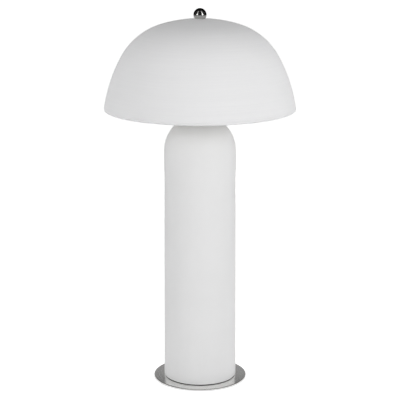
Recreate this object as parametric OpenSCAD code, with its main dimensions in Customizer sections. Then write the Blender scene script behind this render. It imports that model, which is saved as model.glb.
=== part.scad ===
// Ceramic column table lamp with a dome shade, in millimetres.
// The lamp stands on z = 0 at the origin, +Z is up and -Y is the front.

/* [What to draw] */
// Which sub-part to draw

/* [Foot] */
// Foot disc radius
foot_r = 101; // [85:0.5:130]
// Felt pad thickness
pad_t = 1.2; // [0.8:0.1:3]
// How far the pad stops short of the foot edge
pad_inset = 4; // [2:0.5:10]
// Steel weight thickness
weight_t = 2.6; // [2:0.1:8]
// Radial gap between the weight and the cover skirt
weight_gap = 0.2; // [0.1:0.05:0.6]
// Foot cover sheet thickness
cover_t = 1.2; // [0.8:0.1:2]
// How far the cover skirt stays above the pad underside
skirt_lift = 1.7; // [1.3:0.1:3]
// Radius of the raised hub in the cover
hub_r = 28; // [20:0.5:34]
// Height of the raised hub above the flat cover
hub_rise = 8; // [7:0.5:14]
// Radius by which the hub flank spreads
hub_flank = 6; // [3:0.5:10]
// Sheet thickness of the hub flank, measured level
flank_t = 1; // [0.8:0.1:2]
// Gap between the hub flank and the weight and pad openings
hub_gap = 2; // [1:0.5:6]

/* [Pipe and clamping] */
// Threaded pipe radius
pipe_r = 5; // [4.5:0.05:6]
// Pipe bore radius
pipe_bore_r = 3.3; // [2.8:0.05:4]
// Hole radius beyond the pipe radius in the stacked parts
pipe_slack = 0.2; // [0.1:0.05:0.5]
// How far the pipe reaches below the lower nut
pipe_tail = 1.5; // [0.5:0.1:2]
// Wiring slot width in the pipe
slot_w = 4; // [3:0.1:5]
// Wiring slot length in the pipe
slot_h = 26; // [14:1:50]
// Clamp washer radius
washer_r = 14; // [11:0.5:18]
// Clamp washer thickness
washer_t = 1.6; // [1:0.1:2.5]
// Lock washer radius
lock_r = 8.3; // [7:0.1:10]
// Lock washer thickness
lock_t = 1; // [0.8:0.1:1.6]
// Split width of the lock washers
lock_gap = 1; // [0.6:0.1:2]
// Direction of the split in the lock washers
split_turn = 30; // [0:5:355]
// Pipe nut size across its flats
nut_af = 15; // [13:0.5:18]
// Pipe nut height
nut_h = 4; // [3:0.1:5]

/* [Ceramic body] */
// Body radius at the shoulder
body_r = 76.5; // [70:0.5:90]
// How much wider the body is at its foot, in radius
body_spread = 1.8; // [0:0.1:3]
// Body height from its foot rim to the crown
body_h = 570.5; // [420:1:700]
// Body wall
body_wall = 6; // [4.5:0.1:8]
// Lower shoulder arc radius
shoulder_low_r = 75; // [70:0.5:76]
// Upper shoulder arc radius
shoulder_top_r = 57; // [40:0.5:62]
// Angle from the axis where the two shoulder arcs meet
shoulder_turn = 45; // [40:1:50]
// Rounding of the foot rim
body_edge_r = 2; // [1:0.1:3]
// Crown hole radius
crown_hole_r = 6; // [5.7:0.1:7]
// Gasket thickness under the body
gasket_t = 1; // [0.6:0.1:2]
// Gasket inset from the body side
gasket_inset = 1.3; // [0.5:0.1:2]
// Gasket width
gasket_w = 3.6; // [2.5:0.1:4]
// Locating ring thickness
locating_t = 4; // [2:0.5:8]
// Gap between the locating ring and the body
locating_gap = 0.3; // [0.1:0.05:1]
// Gap between the locating ring and the hub
locating_hub_gap = 1; // [0.5:0.1:4]
// Radius of the holes through the locating ring
locating_hole_r = 8; // [5:0.5:10]

/* [Cord outlet] */
// Height of the cord outlet
outlet_z = 30; // [24:0.5:60]
// Outlet bore radius
outlet_bore_r = 3.7; // [3:0.1:4.5]
// Outlet sleeve radius
outlet_r = 5; // [4.8:0.1:6.5]
// Gap between the sleeve and the ceramic hole
outlet_gap = 0.1; // [0.05:0.05:0.3]
// Outlet flange radius
outlet_flange_r = 7.5; // [7:0.1:9]
// Outlet flange thickness
outlet_flange_t = 1.8; // [1.2:0.1:3]
// How far the sleeve reaches inside the ceramic wall
outlet_tail = 1.5; // [0.8:0.1:3]

/* [Crown fittings] */
// Crown gasket radius
crown_gasket_r = 13; // [10:0.5:14]
// Crown gasket thickness
crown_gasket_t = 1; // [0.6:0.1:2]
// Vase cap radius
cap_r = 17; // [14:0.5:24]
// Vase cap thickness
cap_t = 2.5; // [1.5:0.1:4]
// Vase cap edge rounding
cap_edge = 1.5; // [0.5:0.1:1.5]
// Neck radius
neck_r = 8; // [7.5:0.1:10]
// Neck height
neck_h = 12; // [6:0.5:24]

/* [Socket] */
// Threaded collar height on the socket cap
collar_h = 7.4; // [6:0.1:10]
// Threaded collar radius
collar_r = 8; // [7.5:0.1:9]
// Socket cap radius
sock_r = 16.3; // [15.9:0.1:18]
// Sheet thickness of the socket cap and shell
sock_t = 0.8; // [0.6:0.05:0.8]
// Radius of the bell curve on the socket cap
bell_r = 11; // [8:0.1:11]
// How far the bell curve starts below the top of the collar
bell_sink = 2; // [1.5:0.1:2.5]
// Straight rim height of the socket cap
cap_rim_h = 4; // [3:0.5:6]
// Height of the lower end of the shell above the start of the cap rim
shell_up = 1; // [0.5:0.1:2]
// Height of the shell from the start of the cap rim
shell_h = 45; // [44:0.5:48]
// How far the beads stand out of the shell
bead_out = 0.7; // [0.4:0.1:1]
// Height of the lower bead
bead_low_h = 1.2; // [0.8:0.1:2]
// Height of the top bead
bead_top_h = 1.4; // [0.8:0.1:2]
// Insulating liner thickness
ins_t = 0.6; // [0.4:0.05:0.7]
// How far the liner stops below the top of the shell
ins_stop = 0.5; // [0.2:0.1:2]
// Height of the core above the start of the cap rim
core_up = 3; // [2.5:0.1:4]
// Socket core height
core_h = 17; // [16:0.5:18]
// Screw shell inner radius
thread_r = 13.35; // [13.3:0.05:13.4]
// Screw shell sheet thickness
thread_t = 0.45; // [0.3:0.05:0.5]
// Screw shell height
thread_h = 23; // [18:0.5:24]
// Centre contact radius
contact_r = 4.5; // [3:0.1:6]
// Centre contact thickness
contact_t = 1.5; // [1:0.1:2]
// Gap between the centre contact and the floor of the screw shell
contact_gap = 3; // [2:0.1:4]
// Depth of the terminal pockets in the core
pocket_d = 3.5; // [2.5:0.1:4]
// Width of the terminal pockets
pocket_w = 9; // [8:0.5:10]
// Height of the terminal pockets
pocket_h = 10; // [8:0.5:12]
// Terminal screw head radius
terminal_r = 3; // [2:0.1:3.4]
// Terminal screw head height
terminal_t = 2; // [1.5:0.1:2.5]
// Set screw radius
set_r = 1.6; // [1.2:0.1:2]
// Set screw length beyond the collar
set_out = 1.6; // [0.5:0.1:3]
// Height of the set screw above the underside of the collar
set_up = 2.7; // [2.2:0.1:3.2]
// Width of the slots in the screw heads
screw_slot_w = 0.7; // [0.4:0.05:1]
// Depth of the slots in the screw heads
screw_slot_d = 0.7; // [0.4:0.05:1]

/* [Switch] */
// Switch spindle radius
spindle_r = 2; // [1.6:0.05:2.4]
// Radial running clearance of the spindle
spindle_gap = 0.06; // [0.02:0.01:0.1]
// Height of the spindle above the underside of the core
spindle_up = 9; // [8:0.1:9.5]
// Distance of the spindle's inner end from the lamp axis
spindle_from = 3; // [2.5:0.1:5]
// Gap beyond the spindle's inner end
spindle_end_gap = 0.5; // [0.3:0.1:1]
// Distance of the spindle's outer end from the lamp axis
spindle_l = 27; // [24:0.5:32]
// Thrust collar radius on the spindle
thrust_r = 3.2; // [2.9:0.1:3.5]
// Thrust collar thickness
thrust_t = 1.2; // [0.8:0.1:1.5]
// How deep the thrust collar sits in the core
thrust_in = 1; // [0.8:0.1:1.5]
// Gap round the thrust collar
thrust_gap = 0.35; // [0.3:0.05:0.6]
// Knob radius
knob_r = 5; // [4:0.1:7]
// Knob length
knob_l = 12; // [10:0.5:16]
// Length of the spindle inside the knob
knob_grip = 7; // [5:0.5:8]
// Number of flutes on the knob
flute_count = 12; // [8:1:16]
// Flute radius
flute_r = 0.9; // [0.6:0.05:1.2]
// How far the flute centres lie outside the knob
flute_out = 0.45; // [0.3:0.05:0.5]
// Plain length at the inner end of the knob
flute_from = 1.5; // [1:0.1:4]

/* [Harp] */
// Harp wire radius
wire_r = 2; // [1.6:0.1:2.2]
// Half the distance between the harp legs
leg_x = 28.5; // [27.5:0.1:31]
// Height from the saddle to the harp top bar centre
harp_h = 180; // [178:1:215]
// Top corner bend radius
bend_top_r = 26; // [16:1:30]
// Angle turned at the top corner
turn_top = 70; // [66:1:72]
// Side bow radius
bow_r = 105; // [100:1:106]
// Direction of the wire at the end of the bow
turn_bow = 128; // [124:1:129]
// Lower return bend radius
bend_low_r = 35; // [25:1:36]
// Saddle strip thickness
saddle_t = 1.6; // [1.2:0.1:2]
// Saddle strip width
saddle_w = 13; // [12:0.5:16]
// Saddle bend radius
saddle_bend = 6; // [4:0.5:9]
// Height of the saddle arms
arm_h = 16; // [14:0.5:17]
// Prong length above each saddle arm
prong_h = 8; // [5:0.5:8]
// Locking sleeve length
sleeve_h = 12; // [9:0.5:12]
// Gap between the sleeve bore and the wire
sleeve_gap = 0.3; // [0.3:0.05:0.5]
// Locking sleeve wall
sleeve_wall = 1.3; // [1:0.1:2]
// Height of the seat above the top bar centre
seat_up = 4; // [3.5:0.1:5]
// Seat radius
seat_r = 9; // [7:0.5:11]
// Seat thickness
seat_t = 1.5; // [1:0.1:1.8]
// Swivel block radius round the wire
swivel_r = 5; // [4:0.1:6]
// Height of the swivel block below the wire
swivel_drop = 2; // [1:0.1:3]
// Stud radius
stud_r = 3.175; // [3:0.025:3.4]
// Stud height above the seat
stud_h = 16; // [14:0.5:16.5]

/* [Bulb] */
// Radius of the bulb's contact
tip_r = 3.5; // [2.5:0.1:4]
// Thickness of the bulb's contact
tip_t = 1.5; // [1:0.1:2.5]
// Lower radius of the bulb's insulator
insulator_low_r = 4.5; // [4:0.1:6]
// Upper radius of the bulb's insulator
insulator_top_r = 10.5; // [8:0.1:12]
// Height of the bulb's insulator
insulator_h = 3; // [2:0.1:4]
// Bulb cap radius
bulb_cap_r = 13.05; // [12.9:0.05:13.05]
// Bulb cap sheet thickness
bulb_cap_t = 0.5; // [0.3:0.05:0.6]
// Radius of the hole in the bulb cap's floor
bulb_cap_hole_r = 4; // [3:0.5:7]
// Bulb cap length
bulb_cap_h = 20; // [20:0.5:23]
// Glass globe radius
globe_r = 30; // [26:0.5:31]
// Globe centre above the bulb contact
globe_up = 77; // [70:0.5:78]
// Angle where the globe meets its cone
globe_turn = 115; // [110:1:120]
// Glass neck radius
glass_neck_r = 14; // [13.6:0.1:15]
// Glass wall
glass_t = 1; // [0.7:0.1:1.5]

/* [Shade] */
// Fabric skin thickness
skin_t = 0.8; // [0.4:0.1:1.2]
// Rigid liner thickness
liner_t = 1.7; // [1.4:0.1:3]
// Crown arc radius of the dome
dome_top_r = 292.3; // [250:1:340]
// Angle from the axis where the crown arc ends
dome_turn_1 = 16.4; // [14:0.1:18]
// Shoulder arc radius of the dome
dome_mid_r = 141; // [125:1:150]
// Angle from the axis where the shoulder arc ends
dome_turn_2 = 60.9; // [57:0.1:62]
// Side arc radius of the dome
dome_low_r = 320; // [300:1:360]
// Drop from the dome apex to the rolled rim centre
dome_drop = 187.6; // [180:0.5:190]
// Rolled rim radius
rim_r = 3.5; // [3:0.1:5]
// How far the wall reaches below the top of the rim roll
rim_overlap = 0.7; // [0.4:0.1:1.2]
// Rim wire radius
rim_wire_r = 1.6; // [1.2:0.1:2]
// How far the rim roll stays inside the dome surface above it
rim_inset = 2.9; // [2.6:0.1:3.4]
// Flat land depth at the crown
crown_cut = 0.3; // [0.2:0.05:0.4]
// Crown hole radius in the shade
shade_hole_r = 5; // [4.5:0.1:6]
// Spider hub flange radius
spider_r = 12; // [10:0.5:16]
// Spider hub flange thickness
spider_t = 3.5; // [3.2:0.1:4]
// Spider hub boss radius
boss_r = 8.5; // [7:0.5:9.5]
// Height from the harp seat to the top of the hub boss
boss_h = 7; // [6:0.1:9]
// Depth of the boss seat in the liner
boss_seat = 0.2; // [0.15:0.05:0.4]
// How far the sleeve of the hub stops below the crown land
hub_stop = 0.3; // [0.2:0.05:0.8]
// Gap between the hub bore and the stud
stud_gap = 0.325; // [0.3:0.025:0.5]
// Spider arm radius
spider_wire_r = 1.5; // [1.2:0.1:1.5]
// Number of spider arms
arm_count = 3; // [3:1:4]
// Spider ring radius
ring_at = 118; // [100:1:130]
// Spider ring wire radius
ring_wire_r = 2; // [1.5:0.1:2.5]
// How far the ring sinks into the liner
ring_sink = 0.5; // [0.3:0.1:0.8]
// Gap between the ring and its groove
ring_gap = 0.1; // [0.05:0.05:0.3]

/* [Finial] */
// Ball radius
ball_r = 13.7; // [12:0.1:15]
// Base collar radius
base_r = 9.75; // [9:0.05:11]
// Base collar thickness
base_t = 1.2; // [1:0.1:3]
// Base collar edge rounding
base_edge = 0.5; // [0.3:0.1:0.7]
// How far the ball sinks below the base collar top
ball_sink = 6.3; // [5:0.1:8]
// Running clearance on the stud
finial_gap = 0.075; // [0.02:0.005:0.1]
// Free depth above the stud end
bore_end_gap = 1.2; // [0.6:0.1:2]

/* [Hidden] */
$fn = 96;

// How far cuts run past what they cut
over = 1;
// Hairline collars at the joins of the harp wire
join_out = 0.02;
join_l = 0.6;

// Foot and body heights
cover_under = pad_t + weight_t;
foot_top = cover_under + cover_t;
body_z = foot_top + gasket_t;
crown_z = body_z + body_h;
hub_top = foot_top + hub_rise;
hub_under = hub_top - cover_t;
flank_r = hub_r + hub_flank;
open_r = flank_r - flank_t + hub_gap;
washer_z = hub_under - washer_t;
lock_z = washer_z - lock_t;
nut_z = lock_z - nut_h;
pipe_z = nut_z - pipe_tail;
hole_r = pipe_r + pipe_slack;
body_low_r = body_r + body_spread;
body_low_in = body_low_r - body_wall;
locating_in = flank_r + locating_hub_gap;
locating_out = body_low_in - locating_gap;
shoulder_z = crown_z - shoulder_low_r * cos(shoulder_turn)
  - shoulder_top_r * (1 - cos(shoulder_turn));
arc_c1 = [body_r - shoulder_low_r, shoulder_z];
arc_c2 = [arc_c1[0] + (shoulder_low_r - shoulder_top_r) * sin(shoulder_turn),
  crown_z - shoulder_top_r];

// Radius of the body side at a height
function side_r(z) = body_r + body_spread * (shoulder_z - z) / (shoulder_z - body_z - body_edge_r);
outlet_out = side_r(outlet_z);
outlet_in = outlet_out - body_wall;

// Crown stack heights
cap_z = crown_z + crown_gasket_t;
neck_z = cap_z + cap_t;
saddle_z = neck_z + neck_h;
lock2_z = saddle_z + saddle_t;
nut2_z = lock2_z + lock_t;
sock_z = nut2_z + nut_h;
pipe_top = sock_z + collar_h;

// Socket heights and radii
bell_z = pipe_top - bell_sink + bell_r;
rim_top = bell_z + cap_rim_h;
shell_r = sock_r - sock_t;
bead_r = shell_r + bead_out;
ins_r = shell_r - sock_t;
core_r = ins_r - ins_t;
core_z = bell_z + core_up;
core_top = core_z + core_h;
shell_z = bell_z + shell_up;
shell_top = bell_z + shell_h;
spindle_z = core_z + spindle_up;
thrust_y = core_r - thrust_in;
set_z = sock_z + set_up;
set_l = collar_r - pipe_r + set_out;
knob_y = spindle_l - knob_grip;

// Harp path, measured down from the top bar centre
bar_z = saddle_z + harp_h;
bar_half = leg_x - bend_top_r * sin(turn_top)
  - bow_r * (sin(turn_bow) - sin(turn_top)) - bend_low_r * (sin(turn_bow) - 1);
x1 = bar_half + bend_top_r * sin(turn_top);
z1 = bar_z - bend_top_r * (1 - cos(turn_top));
bow_cx = x1 - bow_r * sin(turn_top);
bow_cz = z1 - bow_r * cos(turn_top);
low_cx = leg_x + bend_low_r;
low_cz = bow_cz + bow_r * cos(turn_bow) + bend_low_r * cos(turn_bow);
arm_top = saddle_z + arm_h;
leg_z = arm_top + prong_h;
seat_z = bar_z + seat_up;
stud_top = seat_z + stud_h;

// Bulb heights
bulb_z = core_top + contact_t;
insulator_z = bulb_z + tip_t;
bulb_cap_z = insulator_z + insulator_h;
bulb_cap_top = bulb_cap_z + bulb_cap_h;
globe_z = bulb_z + globe_up;
cone_r = globe_r * sin(globe_turn);
cone_z = globe_z + globe_r * cos(globe_turn);
cone_l = (cone_r - glass_neck_r) / -cos(globe_turn);
neck_end_z = cone_z - cone_l * sin(globe_turn);

// Dome arcs, from the apex out
boss_top = seat_z + boss_h;
apex_z = boss_top - boss_seat + liner_t + skin_t;
wall_t = skin_t + liner_t;
dome_c1 = [0, apex_z - dome_top_r];
dome_c2 = [(dome_top_r - dome_mid_r) * sin(dome_turn_1),
  dome_c1[1] + (dome_top_r - dome_mid_r) * cos(dome_turn_1)];
dome_c3 = [dome_c2[0] + (dome_mid_r - dome_low_r) * sin(dome_turn_2),
  dome_c2[1] + (dome_mid_r - dome_low_r) * cos(dome_turn_2)];
rim_z = apex_z - dome_drop;
wall_end_z = rim_z + rim_r - rim_overlap;
dome_end = acos((wall_end_z - dome_c3[1]) / dome_low_r);
wall_end_r = dome_c3[0] + dome_low_r * sin(dome_end);
rim_at = wall_end_r - rim_inset;
land_z = apex_z - crown_cut;
ring_d = dome_mid_r - wall_t - ring_wire_r + ring_sink;
ring_z = dome_c2[1] + sqrt(pow(ring_d, 2) - pow(ring_at - dome_c2[0], 2));
arm_z = seat_z + spider_t / 2;
arm_from = spider_r / 2;
arm_tilt = atan2(arm_z - ring_z, ring_at - arm_from);
arm_l = sqrt(pow(arm_z - ring_z, 2) + pow(ring_at - arm_from, 2));
base_top = land_z + base_t;
ball_z = base_top - ball_sink + ball_r;

// A ring of rectangular section
module ring(r_in, r_out, z_low, z_high) {
  rotate_extrude()
    translate([r_in, z_low])
      square([r_out - r_in, z_high - z_low]);
}

// A flat band between two arcs on one centre, between two angles from the axis
module band(c, r_in, r_out, a_from, a_to) {
  reach = (r_out + over) / cos((a_to - a_from) / 2);
  intersection() {
    translate(c)
      difference() {
        circle(r = r_out, $fn = 360);
        circle(r = r_in, $fn = 360);
      }
    polygon([c, c + reach * [sin(a_from), cos(a_from)], c + reach * [sin(a_to), cos(a_to)]]);
  }
}

// A torus about the Z axis
module torus(r_big, r_small, z_mid) {
  rotate_extrude()
    translate([r_big, z_mid])
      circle(r = r_small, $fn = 48);
}

// A bent length of harp wire in the XZ plane
module wire_bend(cx, cz, r_big, a_from, a_turn) {
  translate([cx, 0, cz])
    rotate([90, 0, 0])
      rotate([0, 0, a_from])
        rotate_extrude(angle = a_turn)
          translate([r_big, 0])
            circle(r = wire_r, $fn = 32);
}

// Points along an arc, between two angles from the axis
function arc_points(c, r, a_from, a_to, steps, skip = 0) =
  [for (i = [skip:steps]) let (a = a_from + (a_to - a_from) * i / steps)
    c + r * [sin(a), cos(a)]];

// Points down the dome at a depth below its outer surface
function dome_points(depth) = concat(
  arc_points(dome_c1, dome_top_r - depth, 0, dome_turn_1, 11),
  arc_points(dome_c2, dome_mid_r - depth, dome_turn_1, dome_turn_2, 22, 1),
  arc_points(dome_c3, dome_low_r - depth, dome_turn_2, dome_end, 14, 1));

function turned_back(list) = [for (i = [len(list) - 1:-1:0]) list[i]];

// A hairline collar, which closes the join between two lengths of wire
module wire_join(x, z, tilt) {
  translate([x, 0, z])
    rotate([0, tilt, 0])
      cylinder(r = wire_r + join_out, h = join_l, center = true, $fn = 32);
}

// The dome wall between two depths below its outer surface
module dome_wall(depth_out, depth_in) {
  polygon(concat(dome_points(depth_out), turned_back(dome_points(depth_in))));
}

module split_washer(z_low) {
  difference() {
    ring(hole_r, lock_r, z_low, z_low + lock_t);
    rotate([0, 0, split_turn])
      translate([0, -lock_gap / 2, z_low - over])
        cube([lock_r + over, lock_gap, lock_t + over * 2]);
  }
}

// A plain round screw or screw head with a slot across its end
module slotted_screw(r, h) {
  difference() {
    cylinder(r = r, h = h, $fn = 32);
    translate([-screw_slot_w / 2, -r - over, h - screw_slot_d])
      cube([screw_slot_w, (r + over) * 2, screw_slot_d + over]);
  }
}

module pipe_nut(z_low) {
  difference() {
    translate([0, 0, z_low])
      cylinder(r = nut_af / 2 / cos(30), h = nut_h, $fn = 6);
    translate([0, 0, z_low - over])
      cylinder(r = pipe_r, h = nut_h + over * 2);
  }
}

// Foot

module foot_pad() {
  color([0.10, 0.10, 0.11])
    ring(open_r, foot_r - pad_inset, 0, pad_t);
}

module foot_weight() {
  color([0.42, 0.42, 0.43])
    ring(open_r, foot_r - cover_t - weight_gap, pad_t, cover_under);
}

module foot_cover() {
  rim_r_in = foot_r - cover_t;
  color([0.74, 0.73, 0.71])
    rotate_extrude()
      polygon(concat([[rim_r_in, cover_under], [flank_r - flank_t, cover_under],
        [hub_r - flank_t, hub_under], [hole_r, hub_under], [hole_r, hub_top],
        [hub_r, hub_top], [flank_r, foot_top]],
        arc_points([rim_r_in, cover_under], cover_t, 0, 90, 10),
        [[foot_r, skirt_lift], [rim_r_in, skirt_lift]]));
}

module clamp_washer() {
  color([0.62, 0.62, 0.63])
    ring(hole_r, washer_r, washer_z, hub_under);
}

module lock_washer_lower() {
  color([0.55, 0.55, 0.56])
    split_washer(lock_z);
}

module pipe_nut_lower() {
  color([0.66, 0.64, 0.58])
    pipe_nut(nut_z);
}

module threaded_pipe() {
  color([0.70, 0.66, 0.52])
    difference() {
      ring(pipe_bore_r, pipe_r, pipe_z, pipe_top);
      for (dz = [0, slot_h - slot_w])
        translate([0, 0, outlet_z + dz])
          rotate([-90, 0, 0])
            cylinder(r = slot_w / 2, h = pipe_r + over, $fn = 32);
      translate([-slot_w / 2, 0, outlet_z])
        cube([slot_w, pipe_r + over, slot_h - slot_w]);
    }
}

// Ceramic body

module body_gasket() {
  color([0.06, 0.06, 0.06])
    ring(body_low_r - gasket_inset - gasket_w, body_low_r - gasket_inset, foot_top, body_z);
}

module locating_ring() {
  color([0.20, 0.20, 0.21])
    difference() {
      ring(locating_in, locating_out, foot_top, foot_top + locating_t);
      for (a = [45:90:315])
        rotate([0, 0, a])
          translate([(locating_in + locating_out) / 2, 0, foot_top - over])
            cylinder(r = locating_hole_r, h = locating_t + over * 2);
    }
}

// Points along the shoulder, from the side to the crown, at a depth below its surface
function shoulder_points(depth) = concat(
  arc_points(arc_c1, shoulder_low_r - depth, 90, shoulder_turn, 14),
  arc_points(arc_c2, shoulder_top_r - depth, shoulder_turn, 0, 14, 1));

module ceramic_body() {
  color([0.93, 0.93, 0.92])
    difference() {
      rotate_extrude()
        polygon(concat([[body_low_in, body_z]],
          arc_points([body_low_r - body_edge_r, body_z + body_edge_r], body_edge_r, 180, 90, 8),
          shoulder_points(0),
          [[crown_hole_r, crown_z], [crown_hole_r, crown_z - body_wall]],
          turned_back(shoulder_points(body_wall))));
      translate([0, outlet_in / 2, outlet_z])
        rotate([-90, 0, 0])
          cylinder(r = outlet_r + outlet_gap, h = outlet_out);
    }
}

module cord_bushing() {
  cut = outlet_flange_r + over;
  color([0.88, 0.88, 0.86])
    translate([0, 0, outlet_z])
      difference() {
        union() {
          translate([0, outlet_in - outlet_tail, 0])
            rotate([-90, 0, 0])
              cylinder(r = outlet_r, h = body_wall + outlet_tail + outlet_flange_t);
          difference() {
            translate([0, outlet_in, 0])
              rotate([-90, 0, 0])
                cylinder(r = outlet_flange_r, h = body_wall + outlet_flange_t);
            translate([0, 0, -cut])
              cylinder(r1 = side_r(outlet_z - cut), r2 = side_r(outlet_z + cut), h = cut * 2);
          }
        }
        translate([0, outlet_in / 2, 0])
          rotate([-90, 0, 0])
            cylinder(r = outlet_bore_r, h = outlet_out);
      }
}

// Crown fittings

module crown_gasket() {
  color([0.08, 0.08, 0.08])
    ring(hole_r, crown_gasket_r, crown_z, cap_z);
}

module vase_cap() {
  color([0.76, 0.75, 0.73])
    rotate_extrude() {
      translate([hole_r, cap_z])
        square([cap_r - cap_edge - hole_r, cap_t]);
      translate([cap_r - cap_edge, cap_z])
        square([cap_edge, cap_t - cap_edge]);
      translate([cap_r - cap_edge, neck_z - cap_edge])
        intersection() {
          circle(r = cap_edge, $fn = 48);
          square([cap_edge, cap_edge]);
        }
    }
}

module neck_tube() {
  color([0.77, 0.76, 0.74])
    ring(hole_r, neck_r, neck_z, saddle_z);
}

module harp_saddle() {
  inner_x = leg_x - saddle_t / 2 - saddle_bend;
  color([0.72, 0.71, 0.68])
    difference() {
      union() {
        translate([-inner_x, -saddle_w / 2, saddle_z])
          cube([inner_x * 2, saddle_w, saddle_t]);
        for (s = [0, 180])
          rotate([0, 0, s]) {
            translate([inner_x, saddle_w / 2, saddle_z + saddle_t + saddle_bend])
              rotate([90, 0, 0])
                rotate([0, 0, -90])
                  rotate_extrude(angle = 90)
                    translate([saddle_bend, 0])
                      square([saddle_t, saddle_w]);
            translate([leg_x - saddle_t / 2, -saddle_w / 2, saddle_z + saddle_t + saddle_bend])
              cube([saddle_t, saddle_w, arm_h - saddle_t - saddle_bend]);
            translate([leg_x, 0, arm_top])
              cylinder(r = wire_r, h = prong_h, $fn = 32);
          }
      }
      translate([0, 0, saddle_z - over])
        cylinder(r = hole_r, h = saddle_t + over * 2);
    }
}

module lock_washer_upper() {
  color([0.56, 0.56, 0.57])
    split_washer(lock2_z);
}

module pipe_nut_upper() {
  color([0.67, 0.65, 0.59])
    pipe_nut(nut2_z);
}

// Socket

module socket_cap() {
  color([0.78, 0.77, 0.74])
    difference() {
      union() {
        ring(pipe_r, collar_r, sock_z, pipe_top);
        rotate_extrude()
          difference() {
            band([sock_r - bell_r, bell_z], bell_r - sock_t, bell_r, 90, 180);
            translate([0, sock_z])
              square([pipe_r, bell_r * 2]);
          }
        ring(sock_r - sock_t, sock_r, bell_z, rim_top);
      }
      translate([0, 0, set_z])
        rotate([0, 90, 0])
          cylinder(r = set_r, h = collar_r + over, $fn = 32);
    }
}

module cap_set_screw() {
  color([0.64, 0.64, 0.65])
    translate([pipe_r, 0, set_z])
      rotate([0, 90, 0])
        slotted_screw(set_r, set_l);
}

// The hole through the shell and its liner, round the thrust collar
module spindle_hole() {
  translate([0, 0, spindle_z])
    rotate([90, 0, 0])
      cylinder(r = thrust_r + thrust_gap, h = bead_r + over, $fn = 48);
}

module socket_shell() {
  color([0.79, 0.78, 0.75])
    difference() {
      union() {
        ring(ins_r, shell_r, shell_z, shell_top);
        ring(ins_r, bead_r, rim_top, rim_top + bead_low_h);
        ring(ins_r, bead_r, shell_top - bead_top_h, shell_top);
      }
      spindle_hole();
    }
}

module socket_liner() {
  color([0.32, 0.27, 0.22])
    difference() {
      ring(core_r, ins_r, shell_z, shell_top - ins_stop);
      spindle_hole();
    }
}

module socket_core() {
  color([0.07, 0.07, 0.08])
    difference() {
      translate([0, 0, core_z])
        cylinder(r = core_r, h = core_h);
      translate([0, 0, spindle_z])
        rotate([90, 0, 0]) {
          translate([0, 0, spindle_from - spindle_end_gap])
            cylinder(r = spindle_r + spindle_gap, h = core_r, $fn = 48);
          translate([0, 0, thrust_y])
            cylinder(r = thrust_r + thrust_gap, h = thrust_in + over, $fn = 48);
        }
      for (s = [0, 180])
        rotate([0, 0, s])
          translate([core_r - pocket_d, -pocket_w / 2, spindle_z - pocket_h / 2])
            cube([pocket_d + over, pocket_w, pocket_h]);
    }
}

module screw_shell() {
  color([0.80, 0.62, 0.30])
    union() {
      ring(thread_r, thread_r + thread_t, core_top, core_top + thread_h);
      ring(contact_r + contact_gap, thread_r + thread_t, core_top, core_top + thread_t);
    }
}

module centre_contact() {
  color([0.82, 0.64, 0.32])
    translate([0, 0, core_top])
      cylinder(r = contact_r, h = contact_t);
}

module terminal_screws() {
  color([0.78, 0.60, 0.28])
    for (s = [0, 180])
      rotate([0, 0, s])
        translate([core_r - pocket_d, 0, spindle_z])
          rotate([0, 90, 0])
            slotted_screw(terminal_r, terminal_t);
}

// Switch

module switch_spindle() {
  color([0.74, 0.72, 0.66])
    translate([0, 0, spindle_z])
      rotate([90, 0, 0]) {
        translate([0, 0, spindle_from])
          cylinder(r = spindle_r, h = spindle_l - spindle_from, $fn = 48);
        translate([0, 0, thrust_y])
          cylinder(r = thrust_r, h = thrust_t, $fn = 48);
      }
}

module switch_knob() {
  color([0.10, 0.10, 0.11])
    translate([0, 0, spindle_z])
      rotate([90, 0, 0])
        difference() {
          translate([0, 0, knob_y])
            cylinder(r = knob_r, h = knob_l, $fn = 48);
          translate([0, 0, knob_y - over])
            cylinder(r = spindle_r, h = knob_grip + over, $fn = 48);
          for (i = [0:flute_count - 1])
            rotate([0, 0, i * 360 / flute_count])
              translate([knob_r + flute_out, 0, knob_y + flute_from])
                cylinder(r = flute_r, h = knob_l, $fn = 24);
        }
}

// Harp

module harp_wire() {
  color([0.76, 0.75, 0.72])
    union() {
      translate([-bar_half, 0, bar_z])
        rotate([0, 90, 0])
          cylinder(r = wire_r, h = bar_half * 2, $fn = 32);
      for (s = [0, 180])
        rotate([0, 0, s]) {
          wire_bend(bar_half, bar_z - bend_top_r, bend_top_r, 90 - turn_top, turn_top);
          wire_bend(bow_cx, bow_cz, bow_r, 90 - turn_bow, turn_bow - turn_top);
          wire_bend(low_cx, low_cz, bend_low_r, 270 - turn_bow, turn_bow - 90);
          translate([leg_x, 0, leg_z])
            cylinder(r = wire_r, h = low_cz - leg_z, $fn = 32);
          wire_join(bar_half, bar_z, 90);
          wire_join(x1, z1, 90 + turn_top);
          wire_join(low_cx + bend_low_r * cos(270 - turn_bow),
            low_cz + bend_low_r * sin(270 - turn_bow), 90 + turn_bow);
          wire_join(leg_x, low_cz, 0);
        }
    }
}

module harp_swivel() {
  color([0.80, 0.79, 0.76])
    difference() {
      union() {
        translate([0, 0, bar_z - wire_r - swivel_drop])
          cylinder(r = swivel_r, h = seat_up + wire_r + swivel_drop);
        translate([0, 0, seat_z - seat_t])
          cylinder(r = seat_r, h = seat_t);
        translate([0, 0, seat_z])
          cylinder(r = stud_r, h = stud_h);
      }
      translate([-swivel_r - over, 0, bar_z])
        rotate([0, 90, 0])
          cylinder(r = wire_r, h = (swivel_r + over) * 2, $fn = 32);
    }
}

module harp_sleeve(side) {
  translate([side * leg_x, 0, arm_top])
    difference() {
      cylinder(r = wire_r + sleeve_gap + sleeve_wall, h = sleeve_h);
      translate([0, 0, -over])
        cylinder(r = wire_r + sleeve_gap, h = sleeve_h + over * 2);
    }
}

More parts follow.
